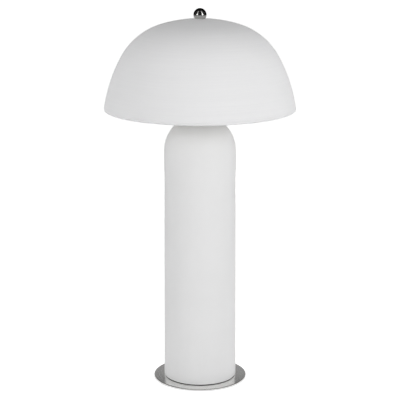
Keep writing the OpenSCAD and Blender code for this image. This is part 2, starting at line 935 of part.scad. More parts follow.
module harp_sleeve_left() {
  color([0.80, 0.78, 0.72])
    harp_sleeve(-1);
}

module harp_sleeve_right() {
  color([0.80, 0.78, 0.72])
    harp_sleeve(1);
}

// Bulb

module bulb_contact() {
  color([0.72, 0.72, 0.74])
    translate([0, 0, bulb_z])
      cylinder(r = tip_r, h = tip_t);
}

module bulb_insulator() {
  color([0.08, 0.08, 0.10])
    translate([0, 0, insulator_z])
      cylinder(r1 = insulator_low_r, r2 = insulator_top_r, h = insulator_h);
}

module bulb_cap() {
  color([0.78, 0.78, 0.79])
    union() {
      ring(bulb_cap_r - bulb_cap_t, bulb_cap_r, bulb_cap_z, bulb_cap_top);
      ring(bulb_cap_hole_r, bulb_cap_r, bulb_cap_z, bulb_cap_z + bulb_cap_t);
    }
}

// Half outline of the glass, drawn in by a depth
function glass_points(depth) = concat(
  [[glass_neck_r - depth, bulb_cap_top], [glass_neck_r - depth, neck_end_z]],
  turned_back(arc_points([0, globe_z], globe_r - depth, 0, globe_turn, 32)));

module bulb_glass() {
  color([0.96, 0.96, 0.95])
    rotate_extrude()
      polygon(concat(glass_points(0), turned_back(glass_points(glass_t))));
}

// Shade

// The hole through the crown of the dome
module crown_hole() {
  translate([0, apex_z - wall_t - over])
    square([shade_hole_r, wall_t + over * 2]);
}

module shade_fabric() {
  color([0.95, 0.95, 0.94])
    rotate_extrude()
      difference() {
        dome_wall(0, skin_t);
        translate([0, land_z])
          square([dome_mid_r, crown_cut + over]);
        crown_hole();
      }
}

module shade_liner() {
  color([0.93, 0.92, 0.89])
    difference() {
      rotate_extrude()
        difference() {
          dome_wall(skin_t, wall_t);
          crown_hole();
          translate([0, boss_top - wall_t])
            square([boss_r, wall_t]);
        }
      torus(ring_at, ring_wire_r + ring_gap, ring_z);
    }
}

module shade_rim_ring() {
  color([0.60, 0.60, 0.60])
    torus(rim_at, rim_wire_r, rim_z);
}

module shade_rim_trim() {
  color([0.94, 0.94, 0.93])
    rotate_extrude()
      difference() {
        translate([rim_at, rim_z])
          circle(r = rim_r, $fn = 64);
        translate([rim_at, rim_z])
          circle(r = rim_wire_r, $fn = 48);
        dome_wall(0, wall_t);
      }
}

module spider_hub() {
  color([0.77, 0.76, 0.74])
    difference() {
      union() {
        translate([0, 0, seat_z])
          cylinder(r = spider_r, h = spider_t);
        translate([0, 0, seat_z])
          cylinder(r = boss_r, h = boss_h);
        translate([0, 0, seat_z])
          cylinder(r = shade_hole_r, h = land_z - seat_z - hub_stop);
      }
      translate([0, 0, seat_z - over])
        cylinder(r = stud_r + stud_gap, h = land_z - seat_z + over * 2);
    }
}

module spider_arms() {
  color([0.78, 0.77, 0.75])
    difference() {
      for (i = [0:arm_count - 1])
        rotate([0, 0, 90 + i * 360 / arm_count])
          translate([arm_from, 0, arm_z])
            rotate([0, 90 + arm_tilt, 0])
              cylinder(r = spider_wire_r, h = arm_l, $fn = 32);
      translate([0, 0, seat_z - over])
        cylinder(r = spider_r, h = spider_t + over * 2);
      torus(ring_at, ring_wire_r, ring_z);
    }
}

module spider_ring() {
  color([0.78, 0.77, 0.75])
    torus(ring_at, ring_wire_r, ring_z);
}

// Finial

module finial_base() {
  bore = stud_r + finial_gap;
  color([0.82, 0.81, 0.80])
    rotate_extrude() {
      translate([bore, land_z])
        square([base_r - base_edge - bore, base_t]);
      translate([base_r - base_edge, land_z])
        square([base_edge, base_t - base_edge]);
      translate([base_r - base_edge, base_top - base_edge])
        intersection() {
          circle(r = base_edge, $fn = 48);
          square([base_edge, base_edge]);
        }
    }
}

module finial_ball() {
  color([0.84, 0.83, 0.82])
    difference() {
      translate([0, 0, ball_z])
        sphere(r = ball_r);
      translate([-ball_r, -ball_r, base_top - ball_r * 2])
        cube([ball_r * 2, ball_r * 2, ball_r * 2]);
      translate([0, 0, base_top - over])
        cylinder(r = stud_r + finial_gap, h = stud_top + bore_end_gap - base_top + over);
    }
}

foot_pad();
foot_weight();
foot_cover();
clamp_washer();
lock_washer_lower();
pipe_nut_lower();
threaded_pipe();
body_gasket();
locating_ring();
ceramic_body();
cord_bushing();
crown_gasket();
vase_cap();
neck_tube();
harp_saddle();
lock_washer_upper();
pipe_nut_upper();
socket_cap();
cap_set_screw();
socket_shell();
socket_liner();
socket_core();
screw_shell();
centre_contact();
terminal_screws();
switch_spindle();
switch_knob();
harp_wire();
harp_swivel();
harp_sleeve_left();
harp_sleeve_right();
bulb_contact();
bulb_insulator();
bulb_cap();
bulb_glass();
shade_fabric();
shade_liner();
shade_rim_ring();
shade_rim_trim();
spider_hub();
spider_arms();
spider_ring();
finial_base();
finial_ball();
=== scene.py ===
"""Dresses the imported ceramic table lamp: its finer pieces, its finishes, and a white studio around it."""

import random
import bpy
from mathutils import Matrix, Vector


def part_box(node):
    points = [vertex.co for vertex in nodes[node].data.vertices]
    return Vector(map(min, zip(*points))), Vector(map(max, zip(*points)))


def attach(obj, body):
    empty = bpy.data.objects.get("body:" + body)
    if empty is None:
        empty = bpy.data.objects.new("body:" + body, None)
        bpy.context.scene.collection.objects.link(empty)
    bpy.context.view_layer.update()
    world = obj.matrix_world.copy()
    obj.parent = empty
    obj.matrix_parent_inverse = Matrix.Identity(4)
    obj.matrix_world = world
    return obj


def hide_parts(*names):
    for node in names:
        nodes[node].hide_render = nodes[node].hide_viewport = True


bl_info = {
    "name": "Ceramic Table Lamp",
    "version": (1, 0, 0),
    "blender": (4, 5, 0),
    "location": "View3D > Sidebar > Table Lamp",
    "description": "Builds the looks of a ceramic column lamp with a dome shade around its solid model",
    "category": "Object",
}

from functools import cached_property
from math import acos, cos, dist, hypot, pi, radians, sin, sqrt, tan

import bmesh
import bpy
from mathutils import Matrix, Vector

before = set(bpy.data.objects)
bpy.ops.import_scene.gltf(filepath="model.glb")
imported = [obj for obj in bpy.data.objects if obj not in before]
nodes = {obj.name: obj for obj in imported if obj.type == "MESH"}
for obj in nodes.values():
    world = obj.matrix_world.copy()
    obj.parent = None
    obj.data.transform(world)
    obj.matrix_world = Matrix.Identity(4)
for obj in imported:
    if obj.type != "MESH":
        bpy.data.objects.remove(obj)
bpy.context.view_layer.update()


def mm(value):
    """Millimetres as metres."""
    return value / 1000.0


def low(node):
    return Vector(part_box(node)[0])


def high(node):
    return Vector(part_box(node)[1])


def middle(node):
    return (low(node) + high(node)) / 2


def ends(node):
    """The lowest and the highest level of a node."""
    return low(node).z, high(node).z


def radius_of(node):
    """Half of a round node's width."""
    size = high(node) - low(node)
    return max(size.x, size.y) / 2


def span(node):
    """The radius, the lowest and the highest level of a round node."""
    return radius_of(node), *ends(node)


fine_pitch = mm(0.94)
screw_pitch = mm(3.63)
quarter, half_turn, full_turn = pi / 2, pi, 2 * pi


# Sizes and colours that a user would change


def length(name, default, words, lowest=0.0, highest=1.0):
    return bpy.props.FloatProperty(
        name=name, default=default, min=lowest, max=highest, description=words,
        subtype="DISTANCE", unit="LENGTH", precision=5,
    )


def angle(name, degrees, words):
    return bpy.props.FloatProperty(
        name=name, default=radians(degrees), description=words, subtype="ANGLE", unit="ROTATION",
    )


def amount(name, default, words):
    return bpy.props.FloatProperty(name=name, default=default, description=words)


def colour(name, default, words):
    return bpy.props.FloatVectorProperty(
        name=name, default=default, size=3, min=0.0, max=1.0, description=words, subtype="COLOR",
    )


class LampShadeSettings(bpy.types.PropertyGroup):
    """Sizes and colours of the dome shade"""

    crown_radius: length("Crown radius", 0.2923, "Radius of the dome's crown arc")
    shoulder_radius: length("Shoulder radius", 0.141, "Radius of the dome's shoulder arc")
    side_radius: length("Side radius", 0.320, "Radius of the dome's side arc")
    crown_turn: angle("Crown turn", 16.4, "Angle from the axis where the crown arc ends")
    shoulder_turn: angle("Shoulder turn", 60.9, "Angle from the axis where the shoulder arc ends")
    skin: length("Skin", 0.0008, "Thickness of the linen skin")
    liner: length("Liner", 0.0017, "Thickness of the rigid liner")
    thread: length("Thread pitch", 0.00065, "Distance between two threads of the weave")
    linen: colour("Linen", (0.86, 0.86, 0.865), "Colour of the linen skin")
    linen_shade: colour("Linen shade", (0.835, 0.835, 0.843), "Colour of the thicker threads")
    styrene: colour("Liner colour", (0.88, 0.87, 0.84), "Colour of the rigid liner")


class LampBodySettings(bpy.types.PropertyGroup):
    """Sizes and colours of the ceramic column"""

    wall: length("Wall", 0.006, "Thickness of the ceramic wall")
    spread: length("Spread", 0.0018, "How much wider the column is at its foot, in radius")
    crown_hole: length("Crown hole", 0.006, "Radius of the hole through the crown")
    low_arc: length("Lower shoulder", 0.075, "Radius of the lower shoulder arc")
    top_arc: length("Upper shoulder", 0.057, "Radius of the upper shoulder arc")
    turn: angle("Shoulder turn", 45, "Angle from the axis where the two shoulder arcs meet")
    rim_round: length("Rim rounding", 0.002, "Rounding of the foot rim")
    glaze: colour("Glaze", (0.86, 0.86, 0.862), "Colour of the matte glaze")
    bisque: colour("Bisque", (0.72, 0.68, 0.62), "Colour of the bare clay inside")


class LampMetalSettings(bpy.types.PropertyGroup):
    """Colours of the metals"""

    nickel: colour("Nickel", (0.83, 0.825, 0.81), "Satin nickel of the fittings")
    brushed: colour("Brushed nickel", (0.925, 0.92, 0.905), "Brushed nickel of the foot")
    polished: colour("Polished nickel", (0.60, 0.595, 0.58), "Mirror nickel of the finial")
    brass: colour("Brass", (0.72, 0.52, 0.22), "Brass of the contacts and the pipe")
    zinc: colour("Zinc", (0.52, 0.53, 0.54), "Zinc plate of the nuts and washers")
    aluminium: colour("Aluminium", (0.74, 0.74, 0.75), "Aluminium of the bulb cap")


class LampStageSettings(bpy.types.PropertyGroup):
    """The camera and the light"""

    camera_distance: length("Camera distance", 2.842, "Distance in front of the lamp", 0.5, 10.0)
    camera_height: length("Camera height", 1.064, "Height above the table", 0.0, 5.0)
    camera_pitch: angle("Camera pitch", 13.196, "Downward pitch of the camera")
    lens: amount("Lens", 122.4, "Focal length in millimetres")
    left_power: amount("Left light", 4.7, "Watts of the left strip")
    right_power: amount("Right light", 8.8, "Watts of the right strip")
    left_turn: angle("Left light turn", 50, "Angle of the left strip from the camera, about the lamp")
    right_turn: angle("Right light turn", 44, "Angle of the right strip from the camera, about the lamp")
    rear_power: amount("Rear light", 14.0, "Watts of the rear fill")
    horizon: amount("Horizon fill", 2.36, "Fill light from the level, gone at 30 degrees up")
    zenith: amount("Zenith fill", 0.43, "Fill light from above, gone at 30 degrees up")
    tent_card: amount("Black card", 0.006, "Tone of the tent of card")
    rim_card: amount("Grey card", 0.31, "Tone of the low ring of card")


# Mesh helpers


def turns(count):
    """The angles of one turn in even steps."""
    return [full_turn * i / count for i in range(count)]


def bridge(bm, here, there, closed=True):
    """Faces between two rows of points that run side by side."""
    count = len(here)
    for j in range(count if closed else count - 1):
        k = (j + 1) % count
        bm.faces.new([here[j], here[k], there[k], there[j]])


def added(name, data):
    """A new object in the scene."""
    thing = bpy.data.objects.new(name, data)
    bpy.context.scene.collection.objects.link(thing)
    return thing


def finish_mesh(name, bm, crease=35.0):
    """Makes an object of a bmesh, smooth apart from its sharp edges."""
    bmesh.ops.remove_doubles(bm, verts=bm.verts, dist=1e-7)
    bmesh.ops.recalc_face_normals(bm, faces=bm.faces)
    mesh = bpy.data.meshes.new(name)
    bm.to_mesh(mesh)
    bm.free()
    for face in mesh.polygons:
        face.use_smooth = True
    mesh.set_sharp_from_angle(angle=radians(crease))
    return added(name, mesh)


def arc(centre, radius, start, end, steps):
    """Points of an arc in the (r, z) plane, with its angles taken from the upward axis."""
    return [
        (centre[0] + radius * sin(a), centre[1] + radius * cos(a))
        for a in (start + (end - start) * i / steps for i in range(steps + 1))
    ]


def band(inner, outer, bottom, top):
    """The closed (r, z) outline of a flat ring."""
    return [(inner, bottom), (outer, bottom), (outer, top), (inner, top)]


def rounded(corners, radius, steps):
    """A closed (r, z) outline with each corner rounded."""
    out = []
    for i, here in enumerate(corners):
        p = Vector(here)
        to_last = Vector(corners[i - 1]) - p
        to_next = Vector(corners[(i + 1) % len(corners)]) - p
        reach = min(radius, to_last.length * 0.49, to_next.length * 0.49)
        a = p + to_last.normalized() * reach
        b = p + to_next.normalized() * reach
        for j in range(steps + 1):
            t = j / steps
            out.append(tuple(a.lerp(p, t).lerp(p.lerp(b, t), t)))
    return out


def turned(name, outline, steps=128, wobble=None, crease=35.0):
    """A closed (r, z) outline turned about the Z axis. wobble(angle, r, z) may change the radius."""
    bm = bmesh.new()
    rings = []
    for a in turns(steps):
        points = [(wobble(a, r, z) if wobble else r, z) for r, z in outline]
        rings.append([bm.verts.new((r * cos(a), r * sin(a), z)) for r, z in points])
    count = len(outline)
    for here, there in zip(rings, rings[1:] + rings[:1]):
        for j in range(count):
            k = (j + 1) % count
            if max(outline[j][0], outline[k][0]) > 1e-6:
                bm.faces.new([here[j], here[k], there[k], there[j]])
    return finish_mesh(name, bm, crease)


def lay_along(thing, direction, spot):
    """Turns a piece made about Z so that it points along direction, and moves its mesh to a spot."""
    turn = Vector((0, 0, 1)).rotation_difference(Vector(direction)).to_matrix().to_4x4()
    thing.data.transform(Matrix.Translation(Vector(spot)) @ turn)


def swept(name, path, radius, sides, closed=False):
    """A round wire along a path in space."""
    bm = bmesh.new()
    count = len(path)
    rings = []
    side = None
    for i, p in enumerate(path):
        before = path[i - 1] if (i or closed) else p
        after = path[(i + 1) % count] if (i < count - 1 or closed) else p
        along = (after - before).normalized()
        side = side or along.orthogonal()
        side = (side - along * side.dot(along)).normalized()
        up = along.cross(side)
        round_it = [p + radius * (cos(a) * side + sin(a) * up) for a in turns(sides)]
        rings.append([bm.verts.new(point) for point in round_it])
    for here, there in zip(rings, rings[1:]):
        bridge(bm, here, there)
    if closed:
        bridge(bm, rings[-1], rings[0])
    else:
        bm.faces.new(rings[0])
        bm.faces.new(rings[-1])
    return finish_mesh(name, bm, 50.0)


def tube(name, bottom, top, rows, sides, outer, inner=None):
    """A tube whose walls' radii are functions of angle and height, or a rod where it has no inner wall."""
    bm = bmesh.new()
    levels = [bottom + (top - bottom) * i / rows for i in range(rows + 1)]

    def ring(wall, z):
        return [bm.verts.new((wall(a, z) * cos(a), wall(a, z) * sin(a), z)) for a in turns(sides)]

    walls = [[ring(wall, z) for z in levels] for wall in (outer, inner) if wall]
    for rings in walls:
        for here, there in zip(rings, rings[1:]):
            bridge(bm, here, there)
    for end in (0, -1):
        if inner:
            bridge(bm, walls[0][end], walls[1][end])
        else:
            bm.faces.new(walls[0][end])
    return finish_mesh(name, bm, 60.0)


def threaded(name, crest, depth, bottom, top, pitch, sides, bore=0.0, taper=0.0):
    """A rod or tube with a rounded helical thread that fades out at both its ends."""

    def thread(a, z):
        wave = 0.5 + 0.5 * cos(full_turn * z / pitch - a)
        fade = max(0.0, min(1.0, (z - bottom) / pitch, (top - z) / pitch))
        return crest - depth + depth * wave * fade - taper * max(0.0, 1 - (top - z) / pitch)

    rows = max(12, int((top - bottom) / pitch * 8))
    return tube(name, bottom, top, rows, sides, thread, (lambda a, z: bore) if bore else None)


def cut_round_hole(thing, radius, start, direction, reach):
    """Cuts a round hole through a piece."""
    bm = bmesh.new()
    bmesh.ops.create_cone(bm, cap_ends=True, segments=48, radius1=radius, radius2=radius, depth=reach)
    bmesh.ops.translate(bm, verts=bm.verts, vec=(0, 0, reach / 2))
    cutter = finish_mesh("hole cutter", bm)
    lay_along(cutter, direction, start)
    change = thing.modifiers.new("cut", "BOOLEAN")
    change.object = cutter
    change.operation = "DIFFERENCE"
    change.solver = "EXACT"
    bpy.context.view_layer.update()
    shaped = bpy.data.meshes.new_from_object(thing.evaluated_get(bpy.context.evaluated_depsgraph_get()))
    thing.modifiers.clear()
    thing.data = shaped
    bpy.data.objects.remove(cutter)
    shaped.set_sharp_from_angle(angle=radians(35))


def place(thing, body, finish, slot, *replaced):
    """Gives a piece its finish and its body, and hides the solids it stands for."""
    thing.data.materials.clear()
    thing.data.materials.append(finishes[finish])
    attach(thing, body)
    if replaced:
        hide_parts(*replaced)


def dress(finish, *names):
    """Gives solids that stay as they are their finish."""
    for name in names:
        mesh = nodes[name].data
        mesh.materials.clear()
        mesh.materials.append(finishes[finish])
        for face in mesh.polygons:
            face.use_smooth = True
            face.material_index = 0
        mesh.set_sharp_from_angle(angle=radians(30))


def hexagon_nut(name, node):
    """A hexagon nut with both its faces chamfered."""
    bottom, top = ends(node)
    flats = (high(node).y - low(node).y) / 2
    corner, face = flats / cos(pi / 6), flats * 0.97
    chamfer, bore = mm(0.9), mm(5.02)

    def hexagon(a, r, z):
        return min(r, flats / cos(a % (pi / 3) - pi / 6))

    outline = [
        (bore, bottom), (face, bottom), (corner, bottom + chamfer),
        (corner, top - chamfer), (face, top), (bore, top),
    ]
    place(turned(name, outline, 180, hexagon, 20.0), "lamp", "zinc", "zinc_steel", node)


# Node helpers


class Wiring:
    """A node tree being built."""

    def __init__(self, tree):
        self.tree = tree
        self.column = -400

    def feed(self, socket, value):
        """Sets a socket to a value, or links it where the value is another node's output."""
        if isinstance(value, bpy.types.NodeSocket):
            self.tree.links.new(value, socket)
        else:
            socket.default_value = value

    def node(self, kind, inputs=(), **facts):
        made = self.tree.nodes.new(kind)
        made.location = (self.column, 0)
        self.column -= 40
        for key, value in facts.items():
            setattr(made, key, value)
        for key, value in dict(inputs).items():
            self.feed(made.inputs[key], value)
        return made

    def math(self, operation, a, b=0.0):
        return self.node("ShaderNodeMath", {0: a, 1: b}, operation=operation).outputs[0]

    def spread(self, value, low_in, high_in, low_out, high_out):
        """Carries a value from one range to another and holds it at the ends."""
        return self.node("ShaderNodeMapRange", {
            "Value": value, "From Min": low_in, "From Max": high_in, "To Min": low_out, "To Max": high_out,
        }).outputs["Result"]

    def show(self, choice, first, second):
        """Makes the surface the first shader where choice is zero and the second where it is one."""
        mixed = self.node("ShaderNodeMixShader", {0: choice, 1: first.outputs[0], 2: second.outputs[0]})
        self.feed(self.tree.nodes["Material Output"].inputs["Surface"], mixed.outputs[0])

    def seen_at_once(self, in_gloss=1.0):
        """One where the eye or glass sees a surface, in_gloss where metal shows it at once, or else zero."""
        path = self.node("ShaderNodeLightPath").outputs
        direct = self.math("LESS_THAN", path["Diffuse Depth"], 0.5)
        shine = self.math("MULTIPLY", path["Is Glossy Ray"], self.math("MULTIPLY", direct, in_gloss))
        clear = self.math("MAXIMUM", path["Is Camera Ray"], path["Is Transmission Ray"])
        return self.math("MAXIMUM", clear, shine)


class Finish(Wiring):
    """A material being built round one Principled shader."""

    def __init__(self, name, base, metallic=0.0, roughness=0.5, specular=0.5):
        self.base = base
        self.material = bpy.data.materials.new(name)
        self.material.use_nodes = True
        super().__init__(self.material.node_tree)
        self.shader = self.tree.nodes["Principled BSDF"]
        self.set("Base Color", (*base, 1.0))
        self.set("Metallic", metallic)
        self.set("Roughness", roughness)
        self.set("Specular IOR Level", specular)

    def set(self, socket, value):
        self.feed(self.shader.inputs[socket], value)

    @cached_property
    def at(self):
        """Object coordinates, in metres in the lamp's own frame."""
        return self.node("ShaderNodeTexCoord").outputs["Object"]

    @cached_property
    def parts(self):
        return self.node("ShaderNodeSeparateXYZ", {0: self.at}).outputs

    @cached_property
    def radius(self):
        x, y, _ = self.parts
        return self.math("SQRT", self.math("ADD", self.math("MULTIPLY", x, x), self.math("MULTIPLY", y, y)))

    @cached_property
    def around(self):
        """The angle about the Z axis, in radians."""
        return self.math("ARCTAN2", self.parts[1], self.parts[0])

    def joined(self, x, y):
        return self.node("ShaderNodeCombineXYZ", {0: x, 1: y}).outputs[0]

    def noise(self, scale, detail=3.0, rough=0.55, at=None, stretch=None):
        """Noise at a scale, or at a scale along each axis where stretch is set."""
        at = at or self.at
        if stretch:
            at = self.node("ShaderNodeMapping", {"Vector": at, "Scale": stretch}).outputs[0]
        inputs = {"Vector": at, "Scale": scale, "Detail": detail, "Roughness": rough}
        return self.node("ShaderNodeTexNoise", inputs).outputs["Fac"]

    def mix(self, share, first, second):
        """A blend of two colours, each fixed or another node's output."""
        first, second = (c if isinstance(c, bpy.types.NodeSocket) else (*c, 1.0) for c in (first, second))
        return self.node("ShaderNodeMix", {0: share, 6: first, 7: second}, data_type="RGBA").outputs[2]

    def bump(self, height, strength, distance, under=None):
        inputs = {"Height": height, "Strength": strength, "Distance": distance}
        if under is not None:
            inputs["Normal"] = under
        return self.node("ShaderNodeBump", inputs).outputs["Normal"]

    def mottle(self, share, first, second):
        """Varies the base colour between two shares of itself."""
        self.set("Base Color", self.mix(share, toned(self.base, first), toned(self.base, second)))

    def roughen(self, value, smooth, rough, most=0.7):
        self.set("Roughness", self.spread(value, 0.3, most, smooth, rough))

    def relief(self, height, strength, distance, under=None):
        self.set("Normal", self.bump(height, strength, distance, under))


def toned(base, factor):
    """A colour made darker or lighter by a factor."""
    return tuple(c * factor for c in base)


# Finishes


def glaze_finish(name, glaze):
    """A smooth matte white glaze, with the faintest pooling and pin speckle."""
    f = Finish(name, glaze, roughness=0.48, specular=0.42)
    pooled = f.mix(f.spread(f.noise(9.0, 2.0), 0.3, 0.7, 0.0, 1.0), glaze, toned(glaze, 0.975))
    speckle = f.spread(f.noise(900.0, 2.0, 0.6), 0.66, 0.78, 0.0, 0.35)
    f.set("Base Color", f.mix(speckle, pooled, toned(glaze, 0.90)))
    f.roughen(f.noise(40.0), 0.42, 0.54)
    f.relief(f.noise(30.0, 2.0), 0.08, mm(0.6), f.bump(f.noise(650.0, 3.0, 0.6), 0.10, mm(0.2)))
    f.set("Coat Weight", 0.10)
    f.set("Coat Roughness", 0.32)
    return f.material


def bisque_finish(name, bisque):
    """Bare fired clay, dry and a little grainy."""
    f = Finish(name, bisque, roughness=0.92, specular=0.2)
    f.mottle(f.noise(220.0, 4.0), 1.0, 0.82)
    f.relief(f.noise(900.0, 4.0), 0.35, mm(0.4))
    return f.material


def linen_finish(name, base, thick, pitch):
    """Linen laid round a dome, with long level slubs in its weft, and painted shade in the hollows of its
    weave.
    """
    f = Finish(name, base, roughness=0.88, specular=0.18)
    along = f.math("MULTIPLY", f.around, 0.18)
    down = f.math("SUBTRACT", f.parts[2], f.radius)
    cloth = f.joined(along, down)
    weft, warp = (f.math("SINE", f.math("MULTIPLY", way, full_turn / pitch)) for way in (down, along))
    weave = f.math("ADD", f.math("MULTIPLY", weft, 0.5), f.math("MULTIPLY", warp, 0.35))
    slub = f.noise(1.0, 4.0, 0.65, cloth, (7.0, 420.0, 1.0))
    bands = f.noise(1.0, 2.0, at=cloth, stretch=(2.2, 120.0, 1.0))
    tone = f.mix(f.spread(slub, 0.42, 0.72, 0.0, 1.0), base, thick)
    banded = f.mix(f.spread(bands, 0.35, 0.65, 0.0, 0.28), tone, toned(thick, 0.985))
    # Darker where the weave is low, in the hollows between the threads: painted shade, not a tone of the
    # cloth
    f.set("Base Color", f.mix(f.spread(weave, -0.85, 0.2, 0.22, 0.0), banded, toned(thick, 0.86)))
    f.roughen(slub, 0.82, 0.94)
    f.relief(slub, 0.35, mm(0.35), f.bump(weave, 0.22, mm(0.18)))
    f.set("Sheen Weight", 0.12)
    f.set("Sheen Roughness", 0.5)
    return f.material


def plastic_finish(name, base, roughness, grain=500.0, depth=0.15, mottle=0.93):
    """Moulded plastic or card with a fine grain."""
    f = Finish(name, base, roughness=roughness, specular=0.4)
    f.mottle(f.spread(f.noise(60.0), 0.35, 0.65, 0.0, 1.0), 1.0, mottle)
    f.roughen(f.noise(120.0), roughness * 0.85, min(1.0, roughness * 1.15))
    f.relief(f.noise(grain), depth, mm(0.2))
    return f.material


def felt_finish(name, base):
    """Pressed felt, with short loose fibres."""
    f = Finish(name, base, roughness=0.97, specular=0.1)
    fibre = f.node("ShaderNodeTexVoronoi", {"Vector": f.at, "Scale": 900.0}).outputs["Distance"]
    fluff = f.noise(1400.0, 4.0, 0.7)
    f.mottle(fluff, 0.6, 1.7)
    f.relief(f.math("ADD", fibre, fluff), 0.6, mm(0.5))
    f.set("Sheen Weight", 0.5)
    return f.material


def brushed_finish(name, base, roughness):
    """Metal brushed in rings about the Z axis."""
    f = Finish(name, base, metallic=1.0, roughness=roughness)
    lines = f.joined(f.math("MULTIPLY", f.radius, 1500.0), f.math("MULTIPLY", f.around, 1.6))
    brush = f.noise(1.0, 3.0, 0.6, lines)
    f.mottle(brush, 0.90, 1.06)
    streaks = f.spread(brush, 0.25, 0.75, roughness - 0.07, roughness + 0.08)
    patches = f.spread(f.noise(25.0, 2.0), 0.3, 0.7, -0.02, 0.03)
    f.set("Roughness", f.math("ADD", streaks, patches))
    f.relief(brush, 0.09, mm(0.12))
    return f.material


def satin_finish(name, base, roughness=0.26):
    """Satin plate with faint tumbling marks."""
    f = Finish(name, base, metallic=1.0, roughness=roughness)
    scratch = f.noise(1.0, stretch=(260.0, 260.0, 2400.0))
    f.mottle(f.noise(90.0, 4.0, 0.6), 0.90, 1.05)
    f.roughen(scratch, roughness * 0.75, roughness * 1.35)
    f.relief(scratch, 0.06, mm(0.1))
    return f.material


def polished_finish(name, base):
    """Polished plate under a soft even haze."""
    f = Finish(name, base, metallic=1.0, roughness=0.17)
    f.roughen(f.noise(260.0, 4.0, 0.6), 0.14, 0.20, 0.75)
    f.mottle(f.noise(30.0, 2.0), 1.0, 0.96)
    return f.material


def rubber_finish(name, base):
    """Dull moulded rubber."""
    f = Finish(name, base, roughness=0.8, specular=0.3)
    f.mottle(f.noise(150.0), 1.0, 1.5)
    f.relief(f.noise(1100.0), 0.3, mm(0.2))
    return f.material


def frosted_finish(name):
    """Inside-frosted bulb glass, lit through but never clear."""
    f = Finish(name, (0.90, 0.90, 0.885), roughness=0.16, specular=0.5)
    f.set("Base Color", f.mix(f.noise(35.0, 2.0), (0.91, 0.91, 0.90), (0.86, 0.86, 0.845)))
    f.roughen(f.noise(140.0), 0.12, 0.20)
    f.set("Subsurface Weight", 0.35)
    f.set("Subsurface Radius", (1.0, 1.0, 1.0))
    f.set("Subsurface Scale", mm(4))
    f.set("Coat Weight", 0.5)
    f.set("Coat Roughness", 0.05)
    return f.material


finishes = {}


def mix_finishes():
    """Makes each finish once, from the settings."""
    shade = bpy.context.scene.lamp_shade
    body = bpy.context.scene.lamp_body
    metal = bpy.context.scene.lamp_metal
    finishes.update(
        glaze=glaze_finish("matte white glaze", body.glaze[:]),
        bisque=bisque_finish("bare bisque clay", body.bisque[:]),
        linen=linen_finish("slubbed white linen", shade.linen[:], shade.linen_shade[:], shade.thread),
        styrene=plastic_finish("white styrene sheet", shade.styrene[:], 0.55, 350.0, 0.06, 0.98),
        brushed=brushed_finish("ring brushed nickel", metal.brushed[:], 0.20),
        satin=satin_finish("satin nickel plate", metal.nickel[:]),
        wire=satin_finish("satin nickel wire", toned(metal.nickel[:], 0.94), 0.30),
        mirror=polished_finish("polished nickel", metal.polished[:]),
        zinc=satin_finish("zinc plate", metal.zinc[:], 0.42),
        pipe=satin_finish("rolled brass pipe", metal.brass[:], 0.38),
        brass=satin_finish("bright brass", metal.brass[:], 0.24),
        aluminium=satin_finish("bulb cap aluminium", metal.aluminium[:], 0.30),
        solder=satin_finish("dull solder", (0.45, 0.45, 0.46), 0.5),
        felt=felt_finish("black felt", (0.020, 0.020, 0.022)),
        rubber=rubber_finish("black gasket rubber", (0.018, 0.018, 0.018)),
        primer=plastic_finish("grey weight primer", (0.10, 0.10, 0.105), 0.6, 300.0, 0.3),
        ring=plastic_finish("black locating plastic", (0.03, 0.03, 0.032), 0.5),
        bushing=plastic_finish("white bushing nylon", (0.78, 0.78, 0.76), 0.4, 700.0, 0.08),
        card=plastic_finish("waxed fibre card", (0.20, 0.13, 0.075), 0.7, 900.0, 0.4),
        phenolic=plastic_finish("black phenolic", (0.016, 0.016, 0.018), 0.28, 900.0, 0.05),
        knob=plastic_finish("black knob plastic", (0.014, 0.014, 0.016), 0.33, 900.0, 0.05),
        vitrite=plastic_finish("black cap glass", (0.012, 0.012, 0.018), 0.12, 200.0, 0.03),
        frosted=frosted_finish("frosted bulb glass"),
    )


# Pieces


class LAMP_OT_foot(bpy.types.Operator):
    """Builds the brushed foot disc, its felt pad and the clamping parts under it"""

    bl_idname = "lamp.foot"
    bl_label = "Foot"

    def execute(self, context):
        wide, bottom, hub_top = span("foot_cover")
        sheet, roll, soft, shoulder = mm(1.2), mm(1.5), mm(0.3), mm(1)
        flat = high("foot_weight").z + sheet
        hole, hub, flank = mm(5.2), mm(28), mm(34)
        outer = (
            [(hole, hub_top), (hub - shoulder, hub_top), (hub, hub_top - mm(0.4))]
            + [(flank, flat + soft), (flank + sheet, flat)]
            + arc((wide - roll, flat - roll), roll, 0.0, quarter, 10)
            + [(wide, bottom + soft), (wide - soft, bottom), (wide - sheet + soft, bottom)]
        )
        inner = (
            [(wide - sheet, bottom + soft)]
            + arc((wide - roll, flat - roll), roll - sheet, quarter, 0.0, 6)
            + [(flank - shoulder, flat - sheet), (hub - shoulder, hub_top - sheet), (hole, hub_top - sheet)]
        )
        place(turned("foot_disc", outer + inner, 256), "lamp", "brushed", "brushed_nickel", "foot_cover")
        self.pad()
        hexagon_nut("foot_clamp_nut", "pipe_nut_lower")
        dress("primer", "foot_weight")
        dress("zinc", "clamp_washer", "lock_washer_lower")
        return {"FINISHED"}

    @staticmethod
    def pad():
        """The felt ring, with a little loose nap at both its edges."""
        outer, _, thick = span("foot_pad")
        inner, longest, soft = mm(35), mm(0.25), mm(0.5)
        tufts, loose = 720, random.Random(4)
        nap = [loose.uniform(-longest, 0.0) for _ in range(tufts)]

        def frayed(a, r, z):
            return r + nap[int(a / full_turn * tufts) % tufts] * (1 if r > (inner + outer) / 2 else -1)

        outline = rounded(band(inner, outer, 0.0, thick), soft, 3)
        place(turned("foot_felt_pad", outline, 360, frayed), "lamp", "felt", "felt", "foot_pad")


